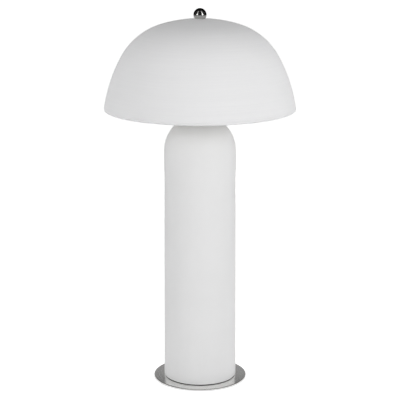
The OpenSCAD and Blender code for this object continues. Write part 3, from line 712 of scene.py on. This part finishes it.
class LAMP_OT_column(bpy.types.Operator):
    """Builds the ceramic column, its gasket, the cord bushing and the threaded pipe"""

    bl_idname = "lamp.column"
    bl_label = "Ceramic column"

    def execute(self, context):
        size = context.scene.lamp_body
        foot_r, bottom, crown = span("ceramic_body")
        wide = foot_r - size.spread
        spring = crown - size.low_arc * cos(size.turn) - size.top_arc * (1 - cos(size.turn))
        low_c = (wide - size.low_arc, spring)
        top_c = (low_c[0] + (size.low_arc - size.top_arc) * sin(size.turn), crown - size.top_arc)
        wall, rim, lip, chamfer = size.wall, size.rim_round, mm(0.8), mm(1)

        def side(z):
            """Radius of the side at a height."""
            return wide + size.spread * (spring - z) / (spring - bottom - rim)

        heights = [spring + (bottom + rim - spring) * i / 24 for i in range(1, 24)]
        outside = (
            arc((size.crown_hole + lip, crown - lip), lip, -quarter, 0.0, 4)
            + arc(top_c, size.top_arc, 0.0, size.turn, 20)
            + arc(low_c, size.low_arc, size.turn, quarter, 20)[1:]
            + [(side(z), z) for z in heights]
            + arc((foot_r - rim, bottom + rim), rim, quarter, half_turn, 8)
        )
        inside = (
            [(foot_r - wall + chamfer, bottom), (foot_r - wall, bottom + chamfer)]
            + arc(low_c, size.low_arc - wall, quarter, size.turn, 12)
            + arc(top_c, size.top_arc - wall, size.turn, 0.0, 12)[1:]
            + [(size.crown_hole, crown - wall)]
        )
        column = turned("ceramic_column", outside + inside, 192)
        outlet, outlet_r = middle("cord_bushing").z, mm(5.1)
        cut_round_hole(column, outlet_r, (0, wide / 2, outlet), (0, 1, 0), wide)
        place(column, "lamp", "glaze", "white_ceramic", "ceramic_body")
        column.data.materials.append(finishes["bisque"])
        bare, foot_edge = 1, bottom + mm(0.2)
        for face in column.data.polygons:
            z = face.center.z
            reach = hypot(face.center.x, face.center.y)
            deep = reach < side(z) - wall / 2
            if z > spring:
                near_crown = reach < top_c[0] + size.top_arc * sin(size.turn)
                centre, bend = (top_c, size.top_arc) if near_crown else (low_c, size.low_arc)
                deep = dist((reach, z), centre) < bend - wall / 2
            if deep or z < foot_edge:
                face.material_index = bare

        self.bushing(outlet, side(outlet))
        crest, depth, bore = mm(4.99), mm(0.37), mm(3.3)
        pipe = threaded("lamp_pipe", crest, depth, *ends("threaded_pipe"), fine_pitch, 40, bore)
        place(pipe, "lamp", "pipe", "pipe_brass", "threaded_pipe")
        dress("rubber", "body_gasket")
        dress("ring", "locating_ring")
        return {"FINISHED"}

    @staticmethod
    def bushing(level, wall):
        """A nylon sleeve with a soft lip, whose back lies against the round wall."""
        back, face = low("cord_bushing").y, high("cord_bushing").y
        flange = high("cord_bushing").x - middle("cord_bushing").x
        sleeve, bore, let_in, soft = mm(5), mm(3.7), mm(0.4), mm(0.5)
        root = wall - let_in
        outline = rounded(
            [(bore, back), (sleeve, back), (sleeve, root), (flange, root), (flange, face), (bore, face)],
            soft, 5,
        )
        made = turned("cord_bushing_lip", outline, 96)
        lay_along(made, (0, 1, 0), (0, 0, level))
        for corner in made.data.vertices:
            at = corner.co
            if hypot(at.x, at.z - level) > sleeve + mm(0.05) and at.y < wall + mm(0.3):
                at.y += sqrt(wall ** 2 - at.x ** 2) - root
        place(made, "lamp", "bushing", "bushing_plastic", "cord_bushing")


class LAMP_OT_crown(bpy.types.Operator):
    """Builds the vase cap, the neck and the parts that hold the harp saddle"""

    bl_idname = "lamp.crown"
    bl_label = "Crown fittings"

    def execute(self, context):
        hole, soft, groove = mm(5.2), mm(0.3), mm(0.4)
        wide, bottom, top = span("vase_cap")
        step, floor = (top - bottom) / 2, top - groove
        groove_out, groove_in = mm(10.5), mm(9.2)
        outline = (
            [(hole, bottom), (wide - soft, bottom), (wide, bottom + soft)]
            + arc((wide - step, top - step), step, quarter, 0.0, 8)[1:]
            + [(groove_out, top), (groove_out - groove, floor), (groove_in + groove, floor)]
            + [(groove_in, top), (hole, top)]
        )
        place(turned("vase_cap_disc", outline), "lamp", "satin", "satin_nickel", "vase_cap")

        wide, bottom, top = span("neck_tube")
        bead, waist = mm(1.3), wide - mm(1.2)
        outline = (
            [(hole, bottom), (wide, bottom)]
            + arc((wide - bead, bottom + bead), bead, quarter, 0.0, 5)
            + [(waist, bottom + 2 * bead + groove), (waist, top - 2 * bead - groove)]
            + arc((wide - bead, top - bead), bead, half_turn, quarter, 5)
            + [(wide, top), (hole, top)]
        )
        place(turned("neck_spool", outline, 96), "lamp", "satin", "satin_nickel", "neck_tube")
        hexagon_nut("saddle_clamp_nut", "pipe_nut_upper")
        dress("rubber", "crown_gasket")
        dress("zinc", "lock_washer_upper")
        dress("satin", "harp_saddle")
        return {"FINISHED"}


class LAMP_OT_socket(bpy.types.Operator):
    """Builds the socket cap and shell, the screw shell, and finishes the parts inside"""

    bl_idname = "lamp.socket"
    bl_label = "Socket"

    def execute(self, context):
        sheet, soft, edge = mm(0.8), mm(0.3), mm(0.4)
        bore, collar, bell = mm(5), mm(8), mm(11)
        outer_turn, inner_turn = radians(164), radians(160)
        wide, bottom, top = span("socket_cap")
        collar_top, bell_c = bottom + mm(7.4), (wide - bell, top - mm(4))
        outside = (
            [(bore, bottom), (collar - soft, bottom), (collar, bottom + soft), (collar, collar_top - mm(1.2))]
            + arc(bell_c, bell, outer_turn, quarter, 16)
            + [(wide, top - mm(1.8)), (wide, top - edge), (wide - edge, top)]
        )
        inside = (
            [(wide - sheet, top), (wide - sheet, bell_c[1])]
            + arc(bell_c, bell - sheet, quarter, inner_turn, 12)[1:]
            + [(bore, collar_top)]
        )
        cap = turned("socket_cap_bell", outside + inside)
        screw_r, screw_z = mm(1.6), bottom + mm(2.7)
        cut_round_hole(cap, screw_r, (0, 0, screw_z), (1, 0, 0), 1.5 * collar)
        place(cap, "lamp", "satin", "socket_nickel", "socket_cap")
        self.sleeve(wide - sheet, top, sheet)
        self.screw_shell()
        dress("zinc", "cap_set_screw")
        dress("card", "socket_liner")
        dress("phenolic", "socket_core")
        dress("brass", "centre_contact", "terminal_screws")
        return {"FINISHED"}

    @staticmethod
    def sleeve(wide, seat, sheet):
        """The socket's shell, with a bead at its seat and its mouth and three ribs between them."""
        outer, bottom, top = span("socket_shell")
        bead = outer - wide
        rib, first_rib, rib_gap = mm(0.35), seat + mm(17), mm(4.5)
        outline = [(wide - sheet, bottom), (wide, bottom), (wide, seat)]
        outline += arc((wide, seat + bead), bead, half_turn, 0.0, 8)
        for z in (first_rib + i * rib_gap for i in range(3)):
            outline += [(wide, z), (wide + rib, z + mm(0.5)), (wide + rib, z + mm(1.1)), (wide, z + mm(1.6))]
        outline += arc((wide, top - bead), bead, half_turn, 0.0, 8) + [(wide - sheet, top)]
        made = turned("socket_shell_sleeve", outline)
        spindle_r, spindle_z, inside, reach = mm(3.55), middle("switch_spindle").z, -mm(12), mm(10)
        cut_round_hole(made, spindle_r, (0, inside, spindle_z), (0, -1, 0), reach)
        place(made, "lamp", "satin", "socket_nickel", "socket_shell")

    @staticmethod
    def screw_shell():
        """The rolled brass shell, its wall waved into the same thread inside and out, and its floor."""
        wide, bottom, top = span("screw_shell")
        wave, wall, floor, hole, clear, soft = mm(0.1), mm(0.3), mm(0.45), mm(7.5), mm(0.4), mm(0.15)

        def waved(inset):
            return lambda a, z: wide - wave - inset + wave * cos(full_turn * z / screw_pitch - a)

        rows = int((top - bottom) / screw_pitch * 10)
        made = tube("screw_shell_thread", bottom, top, rows, 72, waved(0.0), waved(wall))
        outline = rounded(band(hole, wide - clear, bottom, bottom + floor), soft, 2)
        place(turned("screw_shell_floor", outline, 72), "lamp", "brass", "contact_brass")
        place(made, "lamp", "brass", "contact_brass", "screw_shell")


class LAMP_OT_switch(bpy.types.Operator):
    """Builds the fluted switch knob"""

    bl_idname = "lamp.switch"
    bl_label = "Switch knob"

    def execute(self, context):
        near = high("switch_knob").y
        long, wide = near - low("switch_knob").y, radius_of("switch_knob")
        bend, dish, bore, bore_end, flutes = mm(1.6), mm(0.5), mm(2), mm(7), 24
        outline = (
            [(bore, 0.0), (wide * 0.82, 0.0), (wide, mm(1)), (wide, long - bend)]
            + arc((wide - bend, long - bend), bend, quarter, 0.0, 6)[1:]
            + [(wide * 0.45, long), (wide * 0.38, long - dish), (0.0, long - dish)]
            + [(0.0, bore_end), (bore, bore_end)]
        )

        def fluted(a, r, z):
            if r < wide * 0.75 or z < mm(1.2):
                return r
            return r - mm(0.28) * (1 - cos(flutes * a)) * min(1.0, (long - z + mm(0.2)) / mm(2))

        knob = turned("switch_turn_knob", outline, 288, fluted)
        lay_along(knob, (0, -1, 0), (0, near, middle("switch_knob").z))
        place(knob, "switch", "knob", "knob_plastic", "switch_knob")
        dress("brass", "switch_spindle")
        return {"FINISHED"}


class LAMP_OT_harp(bpy.types.Operator):
    """Builds the harp's bent wire, its swivel and its locking sleeves"""

    bl_idname = "lamp.harp"
    bl_label = "Harp"

    def execute(self, context):
        leg_low, top = ends("harp_wire")
        clear = mm(0.02)
        wire = (high("harp_wire").y - low("harp_wire").y) / 2 - clear
        bar_z = top - wire
        leg = middle("harp_sleeve_right").x
        top_bend, bow, low_bend = mm(26), mm(105), mm(35)
        turn_1, turn_2 = radians(70), radians(128)
        sin_1, sin_2 = sin(turn_1), sin(turn_2)
        half = leg - top_bend * sin_1 - bow * (sin_2 - sin_1) - low_bend * (sin_2 - 1)
        path = [(0.0, bar_z), (half * 0.5, bar_z)]
        path += arc((half, bar_z - top_bend), top_bend, 0.0, turn_1, 16)
        x, z = path[-1]
        path += arc((x - bow * sin_1, z - bow * cos(turn_1)), bow, turn_1, turn_2, 26)[1:]
        x, z = path[-1]
        low_c = (x + low_bend * sin_2, z + low_bend * cos(turn_2))
        path += arc(low_c, low_bend, turn_2 + half_turn, half_turn + quarter, 12)[1:]
        path += [(leg, leg_low + mm(4)), (leg, leg_low)]
        right = [Vector((x, 0, z)) for x, z in path]
        left = [Vector((-x, 0, z)) for x, z in reversed(path[1:])]
        place(swept("harp_bow", left + right, wire, 24), "lamp", "wire", "satin_nickel", "harp_wire")
        self.swivel(bar_z + mm(4))
        self.sleeve("left")
        self.sleeve("right")
        return {"FINISHED"}

    @staticmethod
    def swivel(seat):
        """The block on the harp's bar with the seat for the shade, and the stud for the finial."""
        wide, bottom, top = span("harp_swivel")
        block, soft, chamfer, rim = mm(5), mm(0.3), mm(0.6), mm(1.5)
        outline = (
            [(0.0, bottom), (block - chamfer, bottom), (block, bottom + chamfer)]
            + [(block, seat - rim - mm(0.4)), (block + chamfer, seat - rim)]
            + [(wide - soft, seat - rim), (wide, seat - rim + soft)]
            + [(wide, seat - soft), (wide - soft, seat), (0.0, seat)]
        )
        place(turned("harp_swivel_seat", outline, 96), "lamp", "satin", "satin_nickel", "harp_swivel")
        stud, depth = mm(3.175), mm(0.42)
        post = threaded("harp_stud", stud, depth, seat - mm(0.5), top, fine_pitch, 36, taper=mm(0.5))
        place(post, "lamp", "satin", "satin_nickel")

    @staticmethod
    def sleeve(side):
        """A short tube with a bead at each end and a fluted grip between them."""
        node = f"harp_sleeve_{side}"
        outer, bottom, top = span(node)
        bore, grip = outer - mm(1.3), outer - mm(0.25)
        soft, bead, flutes = mm(0.3), mm(1.4), 24
        outline = (
            [(bore, bottom + soft), (bore + soft, bottom), (outer - soft, bottom), (outer, bottom + soft)]
            + [(outer, bottom + bead), (grip, bottom + bead + soft)]
            + [(grip, top - bead - soft), (outer, top - bead)]
            + [(outer, top - soft), (outer - soft, top), (bore + soft, top), (bore, top - soft)]
        )

        def fluted(a, r, z):
            return r if r != grip else r - mm(0.07) * (1 + cos(flutes * a))

        made = turned(f"locking_sleeve_{side}", outline, 144, fluted, 25.0)
        made.data.transform(Matrix.Translation((middle(node).x, 0, 0)))
        place(made, f"sleeve_{side}", "satin", "sleeve_nickel", node)


class LAMP_OT_bulb(bpy.types.Operator):
    """Builds the bulb's glass and its screw cap"""

    bl_idname = "lamp.bulb"
    bl_label = "Bulb"

    def execute(self, context):
        globe, bottom, top = span("bulb_glass")
        centre = (0.0, top - globe)
        neck, wall, bend, edge = mm(14), mm(1), mm(20), mm(1.2)
        turn = radians(115)
        cone = (globe * sin(turn) - neck) / -cos(turn)
        neck_z = centre[1] + globe * cos(turn) - cone * sin(turn)
        sweep_z = neck_z - bend * tan((turn - quarter) / 2)
        outer = (
            arc(centre, globe, 0.0, turn, 40)
            + arc((neck + bend, sweep_z), bend, half_turn + turn, half_turn + quarter, 10)
            + [(neck, bottom + edge), (neck - edge, bottom)]
        )
        inner = (
            [(neck - wall - edge, bottom), (neck - wall, bottom + mm(2)), (neck - wall, sweep_z)]
            + arc(centre, globe - wall, turn, 0.0, 30)
        )
        place(turned("bulb_globe", outer + inner), "bulb", "frosted", "frosted_glass", "bulb_glass")

        crest, bottom, top = span("bulb_cap")
        bore, depth, thread_top, rim = mm(11.8), mm(0.85), top - mm(3), top - mm(3.2)
        cap = threaded("bulb_screw_cap", crest, depth, bottom, thread_top, screw_pitch, 72, bore)
        outline = rounded([(bore, rim), (crest - mm(0.6), rim), (crest, top), (bore, top)], mm(0.2), 2)
        collar = turned("bulb_cap_collar", outline, 96)
        place(cap, "bulb", "aluminium", "bulb_shell", "bulb_cap")
        place(collar, "bulb", "aluminium", "bulb_shell")
        dress("vitrite", "bulb_insulator")
        dress("solder", "bulb_contact")
        return {"FINISHED"}


class LAMP_OT_shade(bpy.types.Operator):
    """Builds the linen dome, its liner, its rolled rim and the spider inside"""

    bl_idname = "lamp.shade"
    bl_label = "Shade"

    def execute(self, context):
        size = context.scene.lamp_shade
        wall = size.skin + size.liner
        skin = turned("shade_linen_dome", self.shell(0.0, size.skin), 256)
        place(skin, "shade", "linen", "shade_linen", "shade_fabric")
        liner = turned("shade_liner_dome", self.shell(size.skin, wall), 256)
        place(liner, "shade", "styrene", "shade_styrene", "shade_liner")
        self.rolled_rim(wall)
        self.seam()
        dress("zinc", "shade_rim_ring")
        self.spider()
        return {"FINISHED"}

    @staticmethod
    def apex():
        """Where the dome's crown arc would meet the axis without its flat land."""
        return high("shade_fabric").z + mm(0.3)

    def dome(self, depth):
        """Points down the dome at a depth below its outer surface."""
        size = bpy.context.scene.lamp_shade
        top_c = (0.0, self.apex() - size.crown_radius)
        mid_c = arc(top_c, size.crown_radius - size.shoulder_radius, size.crown_turn, 0.0, 1)[0]
        side_c = arc(mid_c, size.shoulder_radius - size.side_radius, size.shoulder_turn, 0.0, 1)[0]
        end = acos((low("shade_fabric").z + mm(0.1) - side_c[1]) / size.side_radius)
        return (
            arc(top_c, size.crown_radius - depth, 0.0, size.crown_turn, 26)
            + arc(mid_c, size.shoulder_radius - depth, size.crown_turn, size.shoulder_turn, 48)[1:]
            + arc(side_c, size.side_radius - depth, size.shoulder_turn, end, 30)[1:]
        )

    def shell(self, outer, inner):
        """The closed outline between two depths, with the finial's hole and the flat land round it."""
        hole, land = mm(5), high("shade_fabric").z
        above = [(r, min(z, land)) for r, z in self.dome(outer) if r > hole]
        below = [(r, z) for r, z in self.dome(inner) if r > hole]
        first = (hole, min(self.apex() - outer, land))
        return [first] + above + below[::-1] + [(hole, self.apex() - inner)]

    def wall_radius(self, z, depth):
        """Radius of the dome at a height and a depth."""
        points = self.dome(depth)
        for (r1, z1), (r2, z2) in zip(points, points[1:]):
            if z2 <= z <= z1:
                return r1 + (r2 - r1) * (z1 - z) / max(1e-9, z1 - z2)
        return points[-1][0]

    def rolled_rim(self, wall):
        """The linen turned round the rim wire and tucked up inside."""
        outer, bottom, top = span("shade_rim_trim")
        roll = (top - bottom) / 2
        rim_z = middle("shade_rim_ring").z
        centre = (outer - roll, rim_z)
        thick, gap, edge, roll_thick = mm(0.7), mm(0.1), mm(0.6), mm(1.7)
        outer_start, inner_end, around = radians(32), radians(50), radians(346)
        tuck_top, tuck_foot = rim_z + mm(10.5), rim_z + mm(6)
        tuck_r = self.wall_radius(tuck_top, wall) - gap
        outline = (
            arc(centre, roll, outer_start, around, 40)
            + [(tuck_r - thick, tuck_top - edge), (tuck_r - mm(0.2), tuck_top), (tuck_r, tuck_top - edge)]
            + [(self.wall_radius(tuck_foot, wall) - gap, tuck_foot)]
            + arc(centre, roll - roll_thick, around, inner_end, 40)
        )
        place(turned("shade_rolled_rim", outline, 256), "shade", "linen", "shade_linen", "shade_rim_trim")

    def seam(self):
        """The lapped join down the rear of the dome."""
        bm = bmesh.new()
        width, steps, crown = mm(10), 8, mm(30)

        def sheet(depth, proud):
            """Rows of points across the join, raised in its middle."""
            rows = []
            for r, z in self.dome(depth):
                if r > crown:
                    row = []
                    for k in range(steps + 1):
                        lift = proud * min(1.0, 4 * (1 - abs(2 * k / steps - 1)))
                        a = quarter + (k / steps - 0.5) * width / r
                        reach = r + lift * 0.4
                        row.append(bm.verts.new((reach * cos(a), reach * sin(a), z + lift * 0.2)))
                    rows.append(row)
            return rows

        outer, under = sheet(-mm(0.02), mm(0.5)), sheet(mm(0.3), 0.0)
        for rows in (outer, under):
            for here, there in zip(rows, rows[1:]):
                bridge(bm, here, there, closed=False)
        for end in (0, -1):
            bridge(bm, outer[end], under[end], closed=False)
            bridge(bm, [row[end] for row in outer], [row[end] for row in under], closed=False)
        place(finish_mesh("shade_rear_seam", bm), "shade", "linen", "shade_linen")

    @staticmethod
    def spider():
        """The hub, its three arms and their ring."""
        flange, bottom, top = span("spider_hub")
        bore, boss, thick, soft = mm(3.5), mm(5), mm(3.5), mm(0.4)
        step, upper = bottom + thick, bottom + 2 * thick
        outline = rounded([
            (bore, bottom), (flange, bottom), (flange, step), (mm(8.8), step),
            (mm(8.5), upper), (boss, upper), (boss, top), (bore, top),
        ], soft, 4)
        place(turned("spider_hub_boss", outline, 96), "shade", "satin", "spider_nickel", "spider_hub")
        outer, bottom, top = span("spider_ring")
        wire = (top - bottom) / 2
        reach = outer - wire
        circle = [Vector((reach * cos(a), reach * sin(a), (bottom + top) / 2)) for a in turns(180)]
        ring = swept("spider_wire_ring", circle, wire, 16, closed=True)
        place(ring, "shade", "wire", "spider_nickel", "spider_ring")
        dress("wire", "spider_arms")


class LAMP_OT_finial(bpy.types.Operator):
    """Builds the polished ball finial and its collar"""

    bl_idname = "lamp.finial"
    bl_label = "Ball finial"

    def execute(self, context):
        bore, soft, bend = mm(3.25), mm(0.3), mm(0.7)
        wide, bottom, top = span("finial_base")
        outline = (
            [(bore, bottom), (wide - soft, bottom), (wide, bottom + soft)]
            + arc((wide - bend, top - bend), bend, quarter, 0.0, 6)
            + [(bore, top)]
        )
        place(turned("finial_collar", outline, 160), "finial", "satin", "polished_nickel", "finial_base")
        ball, _, ball_top = span("finial_ball")
        centre = ball_top - ball
        cut = acos((top - centre) / ball)
        bore_end = high("harp_swivel").z + mm(1.2)
        outside = arc((0.0, centre), ball, 0.0, cut, 64)
        inside = [(bore, top), (bore, bore_end), (0.0, bore_end + mm(1))]
        made = turned("finial_ball_nickel", outside + inside, 160)
        place(made, "finial", "mirror", "polished_nickel", "finial_ball")
        return {"FINISHED"}


class LAMP_OT_stage(bpy.types.Operator):
    """Sets the floor, the white surroundings, the dark cards, the lights and the camera"""

    bl_idname = "lamp.stage"
    bl_label = "Studio"

    # Each length of a strip: its lower and upper end as (distance, height), its width, its share of the power
    strips = (
        ((1.75, 0.25), (1.75, 0.75), 0.42, 0.14),
        ((1.75, 0.75), (1.75, 1.20), 0.42, 0.46),
        ((1.75, 1.20), (1.45, 1.85), 0.28, 0.26),
        ((1.45, 1.85), (0.85, 2.45), 0.14, 0.14),
    )
    # Outlines as (distance, height)
    tent = ((1.95, 0.02), (1.95, 2.24), (1.46, 3.20), (0.58, 3.68))
    ring = ((1.25, 0.02), (1.25, 0.62))

    def execute(self, context):
        size = context.scene.lamp_stage
        self.floor(reach=14.0, white=0.92, glow=0.73, in_gloss=0.3)
        self.card("black_tent", self.tent, size.tent_card, capped=True)
        self.card("grey_ring", self.ring, size.rim_card)
        unlit = self.left_unlit("foot_disc")
        sides = (("left", size.left_turn, size.left_power), ("right", -size.right_turn, size.right_power))
        for side, turn, power in sides:
            for i, (low_end, top_end, width, share) in enumerate(self.strips):
                strip = self.strip(f"{side} strip {i}", turn, low_end, top_end, width, power * share)
                strip.light_linking.receiver_collection = unlit
        rear = self.strip("rear fill", half_turn, (2.2, 0.1), (2.2, 0.9), 1.6, size.rear_power)
        rear.visible_glossy = False
        self.world(size.horizon, size.zenith)
        camera = bpy.data.cameras.new("lamp camera")
        camera.lens = size.lens
        camera.sensor_width = 36.0
        eye = added("lamp camera", camera)
        eye.location = (0.0, -size.camera_distance, size.camera_height)
        eye.rotation_euler = (quarter - size.camera_pitch, 0.0, 0.0)
        context.scene.camera = eye
        context.scene.view_settings.view_transform = "Standard"
        return {"FINISHED"}

    @staticmethod
    def floor(reach, white, glow, in_gloss):
        """A wide floor that keeps the lamp's shadow, glows where it is seen, and is clear from below."""
        bm = bmesh.new()
        bmesh.ops.create_grid(bm, x_segments=8, y_segments=8, size=reach)
        plane = finish_mesh("studio_floor", bm)
        f = Finish("white floor", (white, white, white), roughness=0.9, specular=0.0)
        strength = f.math("MULTIPLY", f.seen_at_once(in_gloss), glow)
        glowing = f.node("ShaderNodeEmission", {"Strength": strength})
        lit = f.node("ShaderNodeAddShader", {0: f.shader.outputs[0], 1: glowing.outputs[0]})
        below = f.node("ShaderNodeNewGeometry").outputs["Backfacing"]
        f.show(below, lit, f.node("ShaderNodeBsdfTransparent"))
        plane.data.materials.append(f.material)

    @staticmethod
    def card(name, outline, tone, capped=False):
        """An open (r, z) outline turned about the lamp, which shining metal shows as its even tone.

        Only glossy rays meet it, and it lets through those that have met a matte surface before.
        """
        bm = bmesh.new()
        rings = [[bm.verts.new((r * sin(a), r * cos(a), z)) for a in turns(48)] for r, z in outline]
        for here, there in zip(rings, rings[1:]):
            bridge(bm, here, there)
        if capped:
            bm.faces.new(rings[-1])
        made = finish_mesh(name, bm)
        f = Finish(name, (0.0, 0.0, 0.0))
        bounced = f.math("GREATER_THAN", f.node("ShaderNodeLightPath").outputs["Diffuse Depth"], 0.5)
        glowing = f.node("ShaderNodeEmission", {"Strength": tone})
        f.show(bounced, glowing, f.node("ShaderNodeBsdfTransparent"))
        made.data.materials.append(f.material)
        for rays in ("camera", "diffuse", "shadow", "transmission"):
            setattr(made, f"visible_{rays}", False)

    @staticmethod
    def left_unlit(name):
        """A light list that leaves out one piece: the foot would mirror the strips from behind."""
        listed = bpy.data.collections.new("not lit by the strips")
        listed.objects.link(bpy.data.objects[name])
        listed.collection_objects[0].light_linking.link_state = "EXCLUDE"
        return listed

    @staticmethod
    def strip(name, turn, low_end, top_end, width, power):
        """A soft strip between two (distance, height) ends, turned about the lamp from the camera's side."""
        lamp = bpy.data.lights.new(name, "AREA")
        lamp.shape = "RECTANGLE"
        lamp.energy = power
        thing = added(name, lamp)
        out = Vector((-sin(turn), -cos(turn), 0.0))
        low_at, top_at = (out * away + Vector((0.0, 0.0, height)) for away, height in (low_end, top_end))
        up = (top_at - low_at).normalized()
        across = Vector((cos(turn), -sin(turn), 0.0))
        lamp.size, lamp.size_y = width, (top_at - low_at).length
        facing = Matrix((across, up, across.cross(up))).transposed().to_4x4()
        thing.matrix_world = Matrix.Translation((low_at + top_at) / 2) @ facing
        return thing

    @staticmethod
    def world(horizon, zenith):
        """White where it is seen, and where it lights a plain fill that changes with height."""
        world = bpy.data.worlds.new("studio white")
        bpy.context.scene.world = world
        world.use_nodes = True
        w = Wiring(world.node_tree)
        way = w.node("ShaderNodeTexCoord").outputs["Generated"]
        height = w.node("ShaderNodeSeparateXYZ", {0: way}).outputs[2]
        at_30 = 0.5
        below = w.spread(height, 0.0, at_30, horizon, 0.0)
        fill = w.math("ADD", below, w.spread(height, at_30, 1.0, 0.0, zenith))
        strength = w.node("ShaderNodeMix", {0: w.seen_at_once(), 2: fill, 3: 1.0}).outputs[0]
        sky = world.node_tree.nodes["Background"].inputs
        w.feed(sky["Color"], (1.0, 1.0, 1.0, 1.0))
        w.feed(sky["Strength"], strength)


class LAMP_PT_pieces(bpy.types.Panel):
    """Lists the lamp's operators and settings"""

    bl_idname = "LAMP_PT_pieces"
    bl_label = "Table Lamp"
    bl_space_type = "VIEW_3D"
    bl_region_type = "UI"
    bl_category = "Table Lamp"

    def draw(self, context):
        column = self.layout.column()
        for maker in makers:
            column.operator(maker.bl_idname)
        for group in settings:
            holder = getattr(context.scene, group)
            for key in type(holder).__annotations__:
                column.prop(holder, key)


settings = {
    "lamp_shade": LampShadeSettings,
    "lamp_body": LampBodySettings,
    "lamp_metal": LampMetalSettings,
    "lamp_stage": LampStageSettings,
}
makers = (
    LAMP_OT_foot,
    LAMP_OT_column,
    LAMP_OT_crown,
    LAMP_OT_socket,
    LAMP_OT_switch,
    LAMP_OT_harp,
    LAMP_OT_bulb,
    LAMP_OT_shade,
    LAMP_OT_finial,
    LAMP_OT_stage,
)


def register():
    for name, group in settings.items():
        bpy.utils.register_class(group)
        setattr(bpy.types.Scene, name, bpy.props.PointerProperty(type=group))
    for made in (*makers, LAMP_PT_pieces):
        bpy.utils.register_class(made)


def unregister():
    for made in (LAMP_PT_pieces, *reversed(makers)):
        bpy.utils.unregister_class(made)
    for name, group in reversed(settings.items()):
        delattr(bpy.types.Scene, name)
        bpy.utils.unregister_class(group)


def main():
    register()
    mix_finishes()
    for maker in makers:
        group, call = maker.bl_idname.split(".")
        getattr(getattr(bpy.ops, group), call)()


if __name__ == "__main__":
    main()
